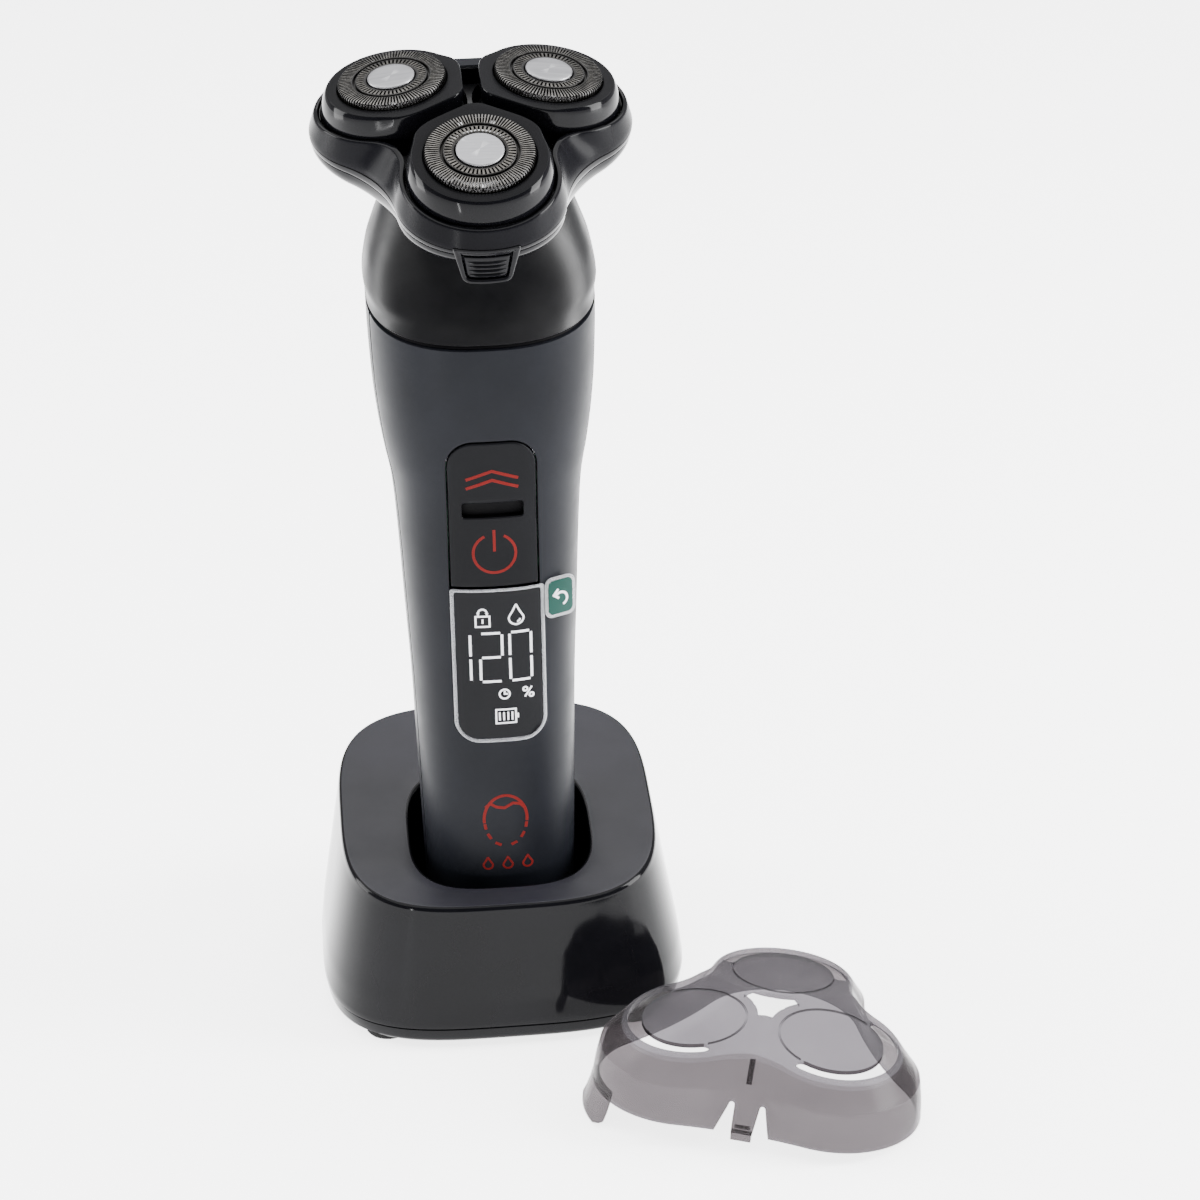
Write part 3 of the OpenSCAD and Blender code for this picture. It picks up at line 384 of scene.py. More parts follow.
# painted shade: a darker copy of the comb steel for the slot walls, the underside and the sides; the
# lighter copy above goes on the tops of the bars, where light falls
COMB_PAINTED_SHADE = metal("comb_steel_painted_shade", (0.008, 0.0075, 0.007), (0.018, 0.017, 0.016), (0.25, 0.4), None,
                  260, 0.004, edge=0.05)
DISC = metal("disc_steel", (0.20, 0.20, 0.21), (0.30, 0.30, 0.31), (0.38, 0.5),
             (1.2, 22, 1), 60, 0.012)
STEEL = metal("steel", (0.42, 0.42, 0.43), (0.62, 0.62, 0.63), (0.25, 0.4))
BRASS = metal("contact_brass", (0.62, 0.44, 0.18), (0.82, 0.62, 0.3), (0.2, 0.35))
BOARD = plastic("circuit_board", (0.012, 0.09, 0.04), (0.02, 0.14, 0.07), (0.35, 0.5), 700, 0.03,
                0.4)
GREY = plastic("structure_grey", (0.22, 0.22, 0.24), (0.30, 0.30, 0.32), (0.45, 0.6))
CELL = plastic("cell_wrap", (0.05, 0.12, 0.28), (0.07, 0.17, 0.36), (0.25, 0.35), coat=0.3)
GEAR = plastic("gear_white", (0.66, 0.64, 0.57), (0.80, 0.78, 0.70), (0.35, 0.5))
SMOKE = translucent("smoke", (0.200, 0.192, 0.206), (0.265, 0.255, 0.272), (0.40, 0.385, 0.405),
                    (0.16, 0.26), spec=0.3, streak=(1, 1, 3), opaque=(0.72, 0.97))
# painted shade: a darker, less see-through copy of the smoke for the cap's walls and foot, which look
# darker than the top as the light goes through more of them
SMOKE_WALL_PAINTED_SHADE = translucent("smoke_wall_painted_shade", (0.062, 0.057, 0.059), (0.110, 0.102, 0.105),
                         (0.34, 0.32, 0.33), (0.16, 0.26), spec=0.3, streak=(1, 1, 3),
                         opaque=(0.52, 0.97))
# painted shade: a near-black copy of the smoke for the slots' inner edges
SMOKE_EDGE_PAINTED_SHADE = translucent("smoke_edge_painted_shade", (0.006, 0.006, 0.006), (0.012, 0.011, 0.012),
                         (0.14, 0.13, 0.135), (0.2, 0.3), spec=0.3, opaque=(0.5, 0.9))
FILM = translucent("film_edge", (0.42, 0.43, 0.45), (0.55, 0.56, 0.58), (0.9, 0.9, 0.92),
                   (0.15, 0.3))
CLEAR = translucent("film_clear", (0.5, 0.51, 0.53), (0.6, 0.6, 0.62), (0.93, 0.94, 0.94),
                    (0.1, 0.2))

NODE_LOOK = (
    (RUBBER, ("stand_feet", "collar_seal", "head_seal")),
    (STEEL, ("stand_screws", "stand_inlet", "battery_tabs", "board_screws", "motor_can",
             "motor_coupling", "hinge_pin", "cutter_1", "cutter_2", "cutter_3")),
    (BOARD, ("stand_board", "main_board")),
    (DARK_PARTS_AND_RECESS_SHADE, ("stand_board_parts", "display_module", "tact_switches", "motor_cap")),
    (BRASS, ("stand_pins", "charge_contacts")),
    (GREY, ("chassis", "motor_mount", "gear_cover")),
    (CELL, ("battery",)),
    (GEAR, ("sun_gear", "planet_gear_1", "planet_gear_2", "planet_gear_3")),
    (SATIN, ("bottom_cap",)),
    (MATTE, ("cutter_deck",)),
)
for look, names in NODE_LOOK:
    for node_name in names:
        me = frame["nodes"][node_name].data
        me.materials.clear()
        me.materials.append(look)
        me.polygons.foreach_set("material_index", [0] * len(me.polygons))

# ---------------------------------------------------------------- camera
cam_data = bpy.data.cameras.new("camera")
cam_data.sensor_width, cam_data.lens = 36.0, 96.0
cam_data.clip_start, cam_data.clip_end = 0.01, 50
cam = bpy.data.objects.new("camera", cam_data)
COL.objects.link(cam)
CAM_AT = Vector((-0.031706, -0.588152, 0.348953))
CAM_LOOK, CAM_UP = Vector((0.0838, 0.9063, -0.4143)), Vector((0.0579, 0.4107, 0.9100))
fwd = CAM_LOOK.normalized()
right = fwd.cross(CAM_UP).normalized()
up = right.cross(fwd)
cam.matrix_world = Matrix((
    (right.x, up.x, -fwd.x, CAM_AT.x), (right.y, up.y, -fwd.y, CAM_AT.y),
    (right.z, up.z, -fwd.z, CAM_AT.z), (0, 0, 0, 1)))
bpy.context.scene.camera = cam

# ---------------------------------------------------------------- charging stand
base_lo, base_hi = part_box("stand_shell")
HALF_W, HALF_D = base_hi.x / MM, base_hi.y / MM
HY = (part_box("bottom_cap")[0].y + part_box("bottom_cap")[1].y) / 2 / MM
SLOPE = math.tan(math.radians(9.5))
TOP = 36.0
RIM_W, RIM_D = HALF_W - 5.7, HALF_D - 4.5


def stand_ring(a, b, z, k=0.0, cy=0.0, n=3.4, count=176):
    out = []
    for i in range(count):
        x, y = superellipse(a, b, n, i * 360 / count)
        out.append((x, y + cy, z + k * (y + cy)))
    return out


def stand_wall():
    """Outer wall from the seam up to the foot of the rounded rim."""
    rings = [stand_ring(HALF_W - inset, HALF_D - inset, z)
             for inset, z in ((0.25, 4.72), (0.06, 4.82), (0, 5.05))]
    lo, mid = (HALF_W, HALF_D, 5.05, 0.0), (HALF_W - 0.9, HALF_D - 0.8, 12, 0.02)
    hi = (RIM_W + 0.62, RIM_D + 0.62, TOP - 1.15, SLOPE)
    for i in range(1, 25):
        t = i / 24
        p = tuple((1 - t) ** 2 * u + 2 * t * (1 - t) * (1.35 * v - 0.175 * (u + w)) + t * t * w
                  for u, v, w in zip(lo, mid, hi))
        q = mix(lo, mid, t / 0.22) if t < 0.22 else mix(mid, hi, (t - 0.22) / 0.78)
        rings.append(stand_ring(*mix(p, q, 0.75)))
    return rings


rings = [stand_ring(14.5, 15.3, 11.8, 0, HY, 3), stand_ring(20, 21.4, TOP - 2.4, SLOPE, HY, 3.2),
         stand_ring(RIM_W - 3.2, RIM_D - 3.2, TOP - 2.4, SLOPE),
         stand_ring(HALF_W - 2.2, HALF_D - 2.2, 4.72)]
bands = [0] * len(rings)
wall = stand_wall()
rings += wall
bands += [0] * len(wall)
for k in range(1, 7):       # rounded rim
    a = math.radians(15 * k)
    out_by = 0.62 - 0.9 * (1 - math.cos(a))
    rings.append(stand_ring(RIM_W + out_by, RIM_D + out_by, TOP - 1.15 + 1.15 * math.sin(a), SLOPE))
    bands.append(0 if k < 5 else 1)
rings.append(stand_ring(RIM_W - 0.6, RIM_D - 0.6, TOP, SLOPE))
bands.append(1)
for f in (0.25, 0.5, 0.75):   # flat top
    rings.append([mix(p, q, f) for p, q in zip(stand_ring(RIM_W - 0.6, RIM_D - 0.6, TOP, SLOPE),
                                               stand_ring(18.9, 20.3, TOP, SLOPE, HY, 3.2))])
    bands.append(1)
for a, b, z, w in ((18.9, 20.3, TOP, 1), (18.62, 20.02, TOP - 0.06, 0), (18.42, 19.82, TOP - 0.25, 0),
                   (18.3, 19.7, TOP - 0.6, 0)):
    rings.append(stand_ring(a, b, z, SLOPE, HY, 3.2))
    bands.append(0)
for i in range(1, 15):
    t = i / 14
    a, b, z, k, n = mix((18.3, 19.7, TOP - 0.6, SLOPE, 3.2), (16.6, 17.2, 14.6, 0, 3), t)
    rings.append(stand_ring(a, b, z, k, HY, n))
    bands.append(0)
rings += [stand_ring(16.1, 16.7, 14.05, 0, HY, 3), stand_ring(15.5, 16.1, 14.0, 0, HY, 3)]
bands += [0, 0]
shell = capped_piece("stand_shell_skin", rings, "stand", [GLOSS, SLATE], bands, slot="black_gloss",
                     node="stand_shell", sharp=40)
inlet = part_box("stand_inlet")
inz = (inlet[0].z + inlet[1].z) / 2 / MM
hole = [(superellipse(4.8, 2.1, 4, i * 7.5)) for i in range(48)]
cut(shell, [prism(hole, 33, 45, lambda x, y, z: (x, z, y + inz))])

rings = [stand_ring(HALF_W - inset, HALF_D - inset, z)
         for inset, z in ((1.5, 1.5), (1.0, 1.62), (0.55, 2.1), (0.4, 2.6), (0.35, 4.3), (0.8, 4.6))]
plate = capped_piece("stand_base_skin", rings, "stand", [GLOSS], slot="black_matte",
                     node="stand_base_plate", sharp=50)
feet = [(x, y) for x in (-24, 24) for y in (-25, 25)]
cut(plate, [prism([(x + 1.3 * math.cos(i * 0.2618), y + 1.3 * math.sin(i * 0.2618)) for i in range(24)],
                  0, 8) for x, y in feet])

# ---------------------------------------------------------------- handle
half_w = smooth_table([(14, 15.0), (48, 15.8), (70, 16.3), (88, 17.1), (102, 17.7), (110, 18.15),
                       (115, 18.6), (121, 19.7), (129, 20.8), (136, 21.4), (147, 21.8), (160, 21.9)])
depth_f = smooth_table([(14, 15.4), (60, 16.8), (90, 17.6), (105, 18.2), (120, 19.6), (136, 21),
                        (160, 21.5)])
depth_r = smooth_table([(14, 15.4), (70, 17.4), (100, 18.6), (120, 20), (136, 20.9), (160, 21)])
SEAM_Z, SEAM_K, SQ = 151.0, math.tan(math.radians(14)), 2.5


def body_xy(z, t, inset):
    d = depth_f(z) if math.sin(math.radians(t)) < 0 else depth_r(z)
    return superellipse(half_w(z) - inset, d - inset, SQ, t)


def body_pt(z, w, t, inset=0.0):
    zz = z + w * SEAM_K * body_xy(z, t, inset)[1]
    x, y = body_xy(zz, t, inset)
    return x, y + HY, zz


def ramp(z):
    return smooth01((z - 128.5) / 20)


def front_y(x, z, inset=0.0):
    """Y of the handle's front surface, sunk by inset."""
    a, b = half_w(z) - inset, depth_f(z) - inset
    return HY - b * max(0.0, 1 - (abs(x) / a) ** SQ) ** (1 / SQ)


def on_front(x, z, inset=0.0):
    return x, front_y(x, z, inset), z


def resample(pts, count):
    """count + 1 points at equal steps along a polyline."""
    seg = [math.dist(a, b) for a, b in zip(pts, pts[1:])]
    total, out, i, run = sum(seg), [pts[0]], 0, 0.0
    for k in range(1, count):
        goal = total * k / count
        while run + seg[i] < goal:
            run += seg[i]
            i += 1
        out.append(mix(pts[i], pts[i + 1], (goal - run) / seg[i]))
    return out + [pts[-1]]


def corner(cx, cz, r, a0, a1, n=14):
    return [(cx + r * math.cos(math.radians(a0 + (a1 - a0) * i / n)),
             cz + r * math.sin(math.radians(a0 + (a1 - a0) * i / n))) for i in range(n + 1)]


def panel_outline(hw, z0, z1, rb, rt, across=40, along=80, hw_top=None):
    """Closed outline of a panel, from its lower left corner round by the bottom."""
    ht = hw_top or hw
    rb, rt = max(rb, 0.02), max(rt, 0.02)
    bl, br = corner(-hw + rb, z0 + rb, rb, 225, 270), corner(hw - rb, z0 + rb, rb, 270, 315)
    br2, tr = corner(hw - rb, z0 + rb, rb, 315, 360), corner(ht - rt, z1 - rt, rt, 0, 45)
    tr2, tl = corner(ht - rt, z1 - rt, rt, 45, 90), corner(-ht + rt, z1 - rt, rt, 90, 135)
    tl2, bl2 = corner(-ht + rt, z1 - rt, rt, 135, 180), corner(-hw + rb, z0 + rb, rb, 180, 225)
    spans = (bl + br, across), (br2 + tr, along), (tr2 + tl, across), (tl2 + bl2, along)
    out = []
    for pts, n in spans:
        out += resample(pts, n)[:-1]
    return out


def lerp_outline(a, b, t):
    return [mix(p, q, t) for p, q in zip(a, b)]


# front shell: the skin between its border and the opening for keypad and display
T0, T1, LOW = 193.4, 346.6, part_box("front_shell")[0].z / MM
ACROSS, ALONG = 40, 80
opening = panel_outline(8.9, 62.5, 127.2, 4.6, 5.3, ACROSS, ALONG, 8.72)
border = []
for n, (ta, za), (tb, zb) in ((ACROSS, (T0, LOW), (T1, LOW)), (ALONG, (T1, LOW), (T1, SEAM_Z - 0.1)),
                              (ACROSS, (T1, SEAM_Z - 0.1), (T0, SEAM_Z - 0.1)),
                              (ALONG, (T0, SEAM_Z - 0.1), (T0, LOW))):
    border += [mix((ta, za), (tb, zb), i / n) for i in range(n)]


def to_t(x, z):
    c = spow(x / half_w(z), SQ / 2)
    return 360 - math.degrees(math.acos(min(1, max(-1, c))))


open_tz = [(to_t(x, z), z) for x, z in opening]


def shell_ring(s, inset, edge=0.0):
    """s = 0 at the border, 1 at the opening; edge pulls the border in by degrees."""
    out = []
    for (tb, zb), (to, zo) in zip(border, open_tz):
        tb = 270 + (tb - 270) * (1 - edge / 76.6)
        t, z = tb + (to - tb) * s, zb + (zo - zb) * s
        out.append(body_pt(z, ramp(z), t, inset))
    return out


rings = [shell_ring(0, 1.9), shell_ring(0, 0.16), shell_ring(0.002, 0.03, 0.5)]
rings += [shell_ring(i / 26, 0) for i in range(1, 26)]
rings += [shell_ring(0.985, 0), shell_ring(0.994, 0.02), shell_ring(0.999, 0.08),
          [on_front(x, z, 0.2) for x, z in opening], [on_front(x, z, 1.9) for x, z in opening]]
rings += [shell_ring(i / 6, 1.9) for i in range(5, 0, -1)]
loop_piece("front_shell_skin", rings, "handle", [SATIN], slot="black_satin", node="front_shell",
           sharp=42)

# rear shell
cols = [-12.6 + i * 205.2 / 110 for i in range(111)]
zs = [LOW + (SEAM_Z - 0.1 - LOW) * i / 56 for i in range(57)]


def rear_grid(inset):
    return [[body_pt(z, ramp(z), t, inset) for t in cols] for z in zs]


def slab(outer, inner):
    """Closed sheet from two grids of the same size."""
    m, n = len(outer), len(outer[0])
    verts = [p for g in (outer, inner) for row in g for p in row]
    o, faces = m * n, []
    for i in range(m - 1):
        for j in range(n - 1):
            a, b, c, d = i * n + j, i * n + j + 1, (i + 1) * n + j + 1, (i + 1) * n + j
            faces += [(a, b, c, d), (o + a, o + d, o + c, o + b)]
    for i in range(m - 1):
        for j in (0, n - 1):
            a, b = i * n + j, (i + 1) * n + j
            faces.append((a, b, o + b, o + a))
    for j in range(n - 1):
        for i in (0, m - 1):
            a, b = i * n + j, i * n + j + 1
            faces.append((a, b, o + b, o + a))
    return verts, faces


v, f = slab(rear_grid(0), rear_grid(1.9))
make("rear_shell_skin", v, f, "handle", [SATIN], slot="black_satin", node="rear_shell", sharp=42)


def panel_piece(name, outline, lift, thick, body, mats, hole=None, node=(), slot=None, edge=0.3,
                floor=1.4, bands=None):
    """A plate that follows the handle's front; hole is the outline of a sunk slot in it."""
    n = len(outline)
    cx = sum(p[0] for p in outline) / n
    cz = sum(p[1] for p in outline) / n
    inner = hole or [mix(p, (cx, cz), 0.97) for p in outline]
    rings = [[on_front(x, z, thick - lift) for x, z in outline],
             [on_front(x, z, edge - lift) for x, z in outline]]
    for d, s in ((0.45, 0.3), (0.1, 0.75), (0.0, 1.3)):
        rings.append([on_front(*mix(p, q, edge * s / max(math.dist(p, q), 0.5)), edge * d - lift)
                      for p, q in zip(outline, inner)])
    steps = 12
    last = 0.93 if hole else 1.0
    first = 0.06
    for i in range(steps + 1):
        t = first + (last - first) * i / steps
        rings.append([on_front(*mix(p, q, t), -lift) for p, q in zip(outline, inner)])
    if hole:
        rings.append([on_front(*mix(p, q, 0.985), 0.05 - lift) for p, q in zip(outline, hole)])
        rings.append([on_front(x, z, 0.25 - lift) for x, z in hole])
        rings.append([on_front(x, z, floor) for x, z in hole])
        hx, hz = sum(p[0] for p in hole) / n, sum(p[1] for p in hole) / n
        for k in (0.1, 0.5, 0.9):
            rings.append([on_front(*mix(p, (hx, hz), k), floor + 0.02) for p in hole])
    index = None
    if bands:
        index = [bands[0] if i < len(rings) - 5 else bands[1] for i in range(len(rings) - 1)]
    return capped_piece(name, rings, body, mats, index, node=node, slot=slot, sharp=40)


key_out = panel_outline(8.4, 96.2, 126.9, 0.15, 5.0)
slot_out = panel_outline(5.9, 111.0, 114.2, 0.6, 0.6)
# painted shade: the slot's walls and floor take the darkest black
panel_piece("keypad_skin", key_out, 0.1, 1.6, "keypad", [KEY, DARK_PARTS_AND_RECESS_SHADE], hole=slot_out, node="keypad",
            slot="black_satin", bands=(0, 1), floor=1.45)
win_out = panel_outline(8.8, 62.6, 95.6, 4.5, 0.3)
panel_piece("display_window_skin", win_out, 0.05, 1.4, "handle", [PANEL], node="display_window",
            slot="black_gloss", edge=0.15)

# clear film: a light border strip round the display
film_o = [(x + 0.4, z) for x, z in panel_outline(9.15, 62.3, 95.75, 4.8, 0.6)]
film_i = [(x + 0.4, z) for x, z in panel_outline(8.45, 63.05, 95.15, 3.9, 0.5)]
rings = [[on_front(*mix(p, q, t), -h) for p, q in zip(film_o, film_i)]
         for t, h in ((0, 0.07), (0, 0.16), (0.12, 0.24), (0.3, 0.27), (0.7, 0.25), (0.95, 0.16),
                      (1, 0.12), (1, 0.07))]
loop_piece("film_border", rings, "handle", [FILM], slot="film", node="display_film", sharp=60)


def ribbon(paths, lift, thick, place, width):
    """Flat strokes of one width along paths (lists of (x, z)); a path may be closed."""
    verts, faces = [], []
    for path in paths:
        closed = math.dist(path[0], path[-1]) < 1e-6
        fine = [path[0]]
        for a, b in zip(path, path[1:]):
            steps = max(1, math.ceil(math.dist(a, b) / 0.3))
            fine += [mix(a, b, i / steps) for i in range(1, steps + 1)]
        pts = fine[:-1] if closed else fine
        n, start = len(pts), len(verts)
        for i, p in enumerate(pts):
            a = pts[i - 1] if (i > 0 or closed) else p
            b = pts[(i + 1) % n] if (i < n - 1 or closed) else p
            d = Vector((b[0] - a[0], b[1] - a[1])).normalized()
            k = 1.0
            if 0 < i < n - 1 or closed:
                d1 = Vector((p[0] - a[0], p[1] - a[1])).normalized()
                k = 1 / max(0.5, d.dot(d1))
            nx, nz = -d.y * width / 2 * k, d.x * width / 2 * k
            for s in (1, -1):
                for h in (lift + thick, lift - 0.05):
                    verts.append(place(p[0] + s * nx, p[1] + s * nz, -h))
        count = n if closed else n - 1
        for i in range(count):
            a, b = start + 4 * i, start + 4 * ((i + 1) % n)
            faces += [(a, b, b + 2, a + 2), (a + 1, a + 3, b + 3, b + 1), (a, a + 1, b + 1, b),
                      (a + 2, b + 2, b + 3, a + 3)]
        if not closed:
            e = start + 4 * (n - 1)
            faces += [(start, start + 2, start + 3, start + 1), (e, e + 1, e + 3, e + 2)]
    return verts, faces


def marks(name, paths, width, body, mat, lift, thick=0.03):
    v, f = ribbon(paths, lift, thick, on_front, width)
    make(name, v, f, body, [mat], sharp=50)


def arc(cx, cz, r, a0, a1, n=40, rz=None):
    return [(cx + r * math.cos(math.radians(a0 + (a1 - a0) * i / n)),
             cz + (rz or r) * math.sin(math.radians(a0 + (a1 - a0) * i / n))) for i in range(n + 1)]


def bar(x0, z0, x1, z1, n=4):
    return [mix((x0, z0), (x1, z1), i / n) for i in range(n + 1)]


def drop(cx, cz, r, tall):
    pts = []
    for i in range(49):
        a = math.radians(-90 + i * 7.5)
        lift_ = max(0.0, math.sin(a)) ** 2
        pts.append((cx + r * math.cos(a) * (1 - 0.62 * lift_ ** 0.9),
                    cz + r * math.sin(a) + (tall - 2 * r) * lift_ ** 1.6))
    return pts


marks("mark_power", [arc(0.1, 103.4, 4.1, 117, 423, 56), bar(0.1, 108.4, 0.1, 103.8)], 0.55,
      "keypad", RED, 0.1)
marks("mark_boost", [[(-5.0, z), (0, z + 1.7), (5.0, z)] for z in (117.4, 119.3)], 0.62, "keypad",
      RED, 0.1)
marks("mark_shave", [arc(0.6, 44.6, 4.3, -8, 188, 40, 5.4),
                     [(-3.4, 47.4), (-2.4, 48.3), (-1.2, 47.5), (0.4, 47.2), (2.2, 48.2),
                      (3.6, 47.9), (4.5, 46.9)],
                     bar(-3.6, 43.6, -3.4, 42.4), bar(4.8, 43.6, 4.6, 42.4),
                     bar(-3.1, 41.4, -2.4, 40.2), bar(4.3, 41.4, 3.6, 40.2),
                     bar(-1.6, 39.3, -0.4, 38.7), bar(2.8, 39.3, 1.6, 38.7)], 0.6, "handle", RED,
      0.0)
marks("mark_wet", [drop(x, 34.2, 0.95, 2.6) for x in (-3.2, 0.8, 4.8)], 0.4, "handle", RED, 0.0)


def digit(x, z, w, h, on):
    """Strokes of a seven-segment figure, its lower left corner at (x, z)."""
    g, m = 0.34, h / 2
    lines = {"a": (x + g, z + h, x + w - g, z + h), "g": (x + g, z + m, x + w - g, z + m),
             "d": (x + g, z, x + w - g, z), "f": (x, z + h - g, x, z + m + g),
             "b": (x + w, z + h - g, x + w, z + m + g), "e": (x, z + m - g, x, z + g),
             "c": (x + w, z + m - g, x + w, z + g)}
    return [bar(*lines[k]) for k in on]


DIGIT_Z, DIGIT_H = 75.7, 10.5
digits = (digit(-5.2, DIGIT_Z, 0.001, DIGIT_H, "fe") + digit(-3.3, DIGIT_Z, 4.3, DIGIT_H, "abged")
          + digit(2.5, DIGIT_Z, 4.2, DIGIT_H, "abcdef"))
marks("icon_digits", digits, 0.5, "handle", WHITE, 0.05, 0.02)
lock = [[(-4.0, 87.7), (-1.3, 87.7), (-1.3, 89.9), (-4.0, 89.9), (-4.0, 87.7)],
        bar(-3.5, 90.0, -3.5, 90.6) + arc(-2.65, 90.6, 0.85, 180, 0, 16) + bar(-1.8, 90.6, -1.8, 90.0),
        bar(-2.65, 89.3, -2.65, 88.4)]
battery = [[(-0.6, 66.4), (3.3, 66.4), (3.3, 69.4), (-0.6, 69.4), (-0.6, 66.4)],
           bar(3.7, 67.4, 3.7, 68.4)]
battery += [bar(0.1 + 0.83 * k, 67.0, 0.1 + 0.83 * k, 68.8) for k in range(4)]
percent = [arc(5.3, 73.5, 0.42, 0, 360, 14), arc(6.5, 72.1, 0.42, 0, 360, 14),
           bar(5.2, 71.8, 6.6, 73.9)]
clock = [arc(1.2, 72.8, 1.0, 0, 360, 24), [(1.2, 73.5), (1.2, 72.8), (1.8, 72.8)]]
marks("icon_signs", lock + battery + percent + clock + [drop(3.9, 89.3, 1.45, 4.2),
      arc(3.95, 89.1, 0.7, -80, -5, 8)], 0.36, "handle", WHITE, 0.05, 0.02)

# film tab: clear rim, green middle, bent arrow
tab_lo, tab_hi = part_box("film_tab")
TAB = Matrix.Translation((tab_lo + tab_hi) / 2) @ Matrix.Rotation(math.radians(26), 4, "Z")


def rounded(hw, hh, r, n=10):
    pts = []
    for cx, cz, a in ((hw - r, hh - r, 0), (-hw + r, hh - r, 90), (-hw + r, -hh + r, 180),
                      (hw - r, -hh + r, 270)):
        pts += [(cx + r * math.cos(math.radians(a + 90 * i / n)),
                 cz + r * math.sin(math.radians(a + 90 * i / n))) for i in range(n + 1)]
    return pts


def tab_plate(name, hw, hh, r, y0, y1, mat, slot):
    o, i = rounded(hw, hh, r), rounded(hw - 0.12, hh - 0.12, r - 0.1)
    rings = [[(x, y0, z) for x, z in o], [(x, y1 + 0.05, z) for x, z in o], [(x, y1, z) for x, z in i]]
    return capped_piece(name, rings, "handle", [mat], slot=slot, sharp=50, at=TAB)


rim = tab_plate("film_tab_rim", 3.4, 4.25, 1.6, 0.14, -0.1, CLEAR, "film")
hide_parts("film_tab")
tab_plate("film_tab_face", 2.75, 3.6, 1.2, -0.1, -0.14, GREEN, "tab_green")
arrow = [arc(0.1, -0.5, 1.35, -70, 130, 24) + [(-1.5, 0.5)],
         [(-0.5, 1.6), (-1.5, 0.5), (-0.35, -0.35)]]
v, f = ribbon(arrow, 0.14, 0.01, lambda x, z, d: (x, d, z), 0.5)
make("film_tab_arrow", v, f, "handle", [WHITE], sharp=50, at=TAB)

# ---------------------------------------------------------------- head frame of reference
W = Vector(J["sun_spin"]["axis"]).normalized()
LEAN = math.atan2(-W.y, W.z)
ORIGIN = Vector(J["sun_spin"]["pos_m"]) + W * 0.015
HEAD = Matrix.Translation(ORIGIN) @ Matrix.Rotation(LEAN, 4, "X")
POD_C = 17.1
GUARD_R = 10.25
POD_DEG = (-90, 150, 30)
POD = []
for k in (1, 2, 3):
    axis = Vector(J[f"cutter_spin_{k}"]["axis"]).normalized()
    at = Vector(J[f"cutter_spin_{k}"]["pos_m"])
    radial = (at - ORIGIN) - W * (at - ORIGIN).dot(W)
    xdir = (radial - axis * radial.dot(axis)).normalized()
    ydir = axis.cross(xdir)
    POD.append(Matrix(((xdir.x, ydir.x, axis.x, at.x), (xdir.y, ydir.y, axis.y, at.y),
                       (xdir.z, ydir.z, axis.z, at.z), (0, 0, 0, 1))))

# shoulder collar, from the sloping seam to the neck under the head
swell = smooth_table([(0, 0), (0.1, 0.09), (0.25, 0.32), (0.45, 0.36), (0.65, 0.27), (0.85, 0.13),
                      (1, 0)])
TS = [i * 2.0 for i in range(180)]


def collar_ring(s, inset):
    out = []
    for t in TS:
        low = Vector(body_pt(SEAM_Z + 0.15, 1, t, inset))
        nx, ny = superellipse(17.2 - inset, 15.6 - inset, 2.2, t)
        top = HEAD @ Vector((nx * MM, ny * MM, -19.2 * MM)) / MM
        front = max(0.0, -math.sin(math.radians(t)))
        sw = swell(s) * (1 - 1.25 * front * front)
        m = low.lerp(top, s)
        out.append((m.x + sw * (low.x - top.x), m.y + sw * (low.y - top.y) * 0.9, m.z))
    return out


# painted shade: the groove band at the collar's lower edge takes the darkest black
rings = [collar_ring(0, 1.8), collar_ring(0, 0.55), collar_ring(0.028, 0.5), collar_ring(0.034, 0.12),
         collar_ring(0.04, 0.0)]
bands = [0, 1, 1, 0, 0]
for i in range(1, 27):
    rings.append(collar_ring(0.04 + 0.95 * i / 26, 0))
    bands.append(0)
rings += [collar_ring(1, 0.25), collar_ring(1, 1.8)]
bands += [0, 0]
for i in range(5, 0, -1):
    rings.append(collar_ring(i / 6, 1.8))
    bands.append(0)
loop_piece("collar_skin", rings, "handle", [MATTE, DARK_PARTS_AND_RECESS_SHADE], bands, slot="black_matte",
           node="shoulder_collar", sharp=40)
# painted shade: the deck under the head is all darkest black
neck_o = [(x, y, -19.35) for x, y in (superellipse(15.75, 14.15, 2.2, t) for t in TS)]
neck_i = [(9.9 * math.cos(math.radians(t)), 9.9 * math.sin(math.radians(t)), -19.35) for t in TS]
rings = [neck_o, [mix(p, q, 0.5) for p, q in zip(neck_o, neck_i)], neck_i,
         [(x, y, -20.9) for x, y, z in neck_i], [(x, y, -20.9) for x, y, z in neck_o]]
loop_piece("collar_deck", rings, "handle", [DARK_PARTS_AND_RECESS_SHADE], slot="black_matte", sharp=40, at=HEAD)

# head base under the hinged frame
prof = [(-18.5, 0.0), (-18.0, 0.14), (-17.6, 0.28), (-17.1, 0.44), (-16.6, 0.6), (-16.0, 0.75),
        (-15.4, 0.86), (-14.8, 0.925), (-14.2, 0.965), (-13.6, 0.99), (-13.1, 1.0)]
rings = [[(9.5 * math.cos(math.radians(t)), 9.5 * math.sin(math.radians(t)), z) for t in TS]
         for z in (-23.4, -18.5)]
for z, b in prof:
    rings.append(lobe_ring(POD_C, 15.6, 26, z, 180, b, 16.4 if z < -18.4 else 17))
rings += [lobe_ring(POD_C, 15.6, 26, -12.62), lobe_ring(POD_C, 15.45, 26, -12.5)]
rings += [lobe_ring(POD_C, 12.6, 9.5, -12.5), lobe_ring(POD_C, 12.4, 9.5, -15.0)]
capped_piece("head_base_skin", rings, "head", [GLOSS], slot="black_gloss", node="head_base",
             sharp=45, at=HEAD)


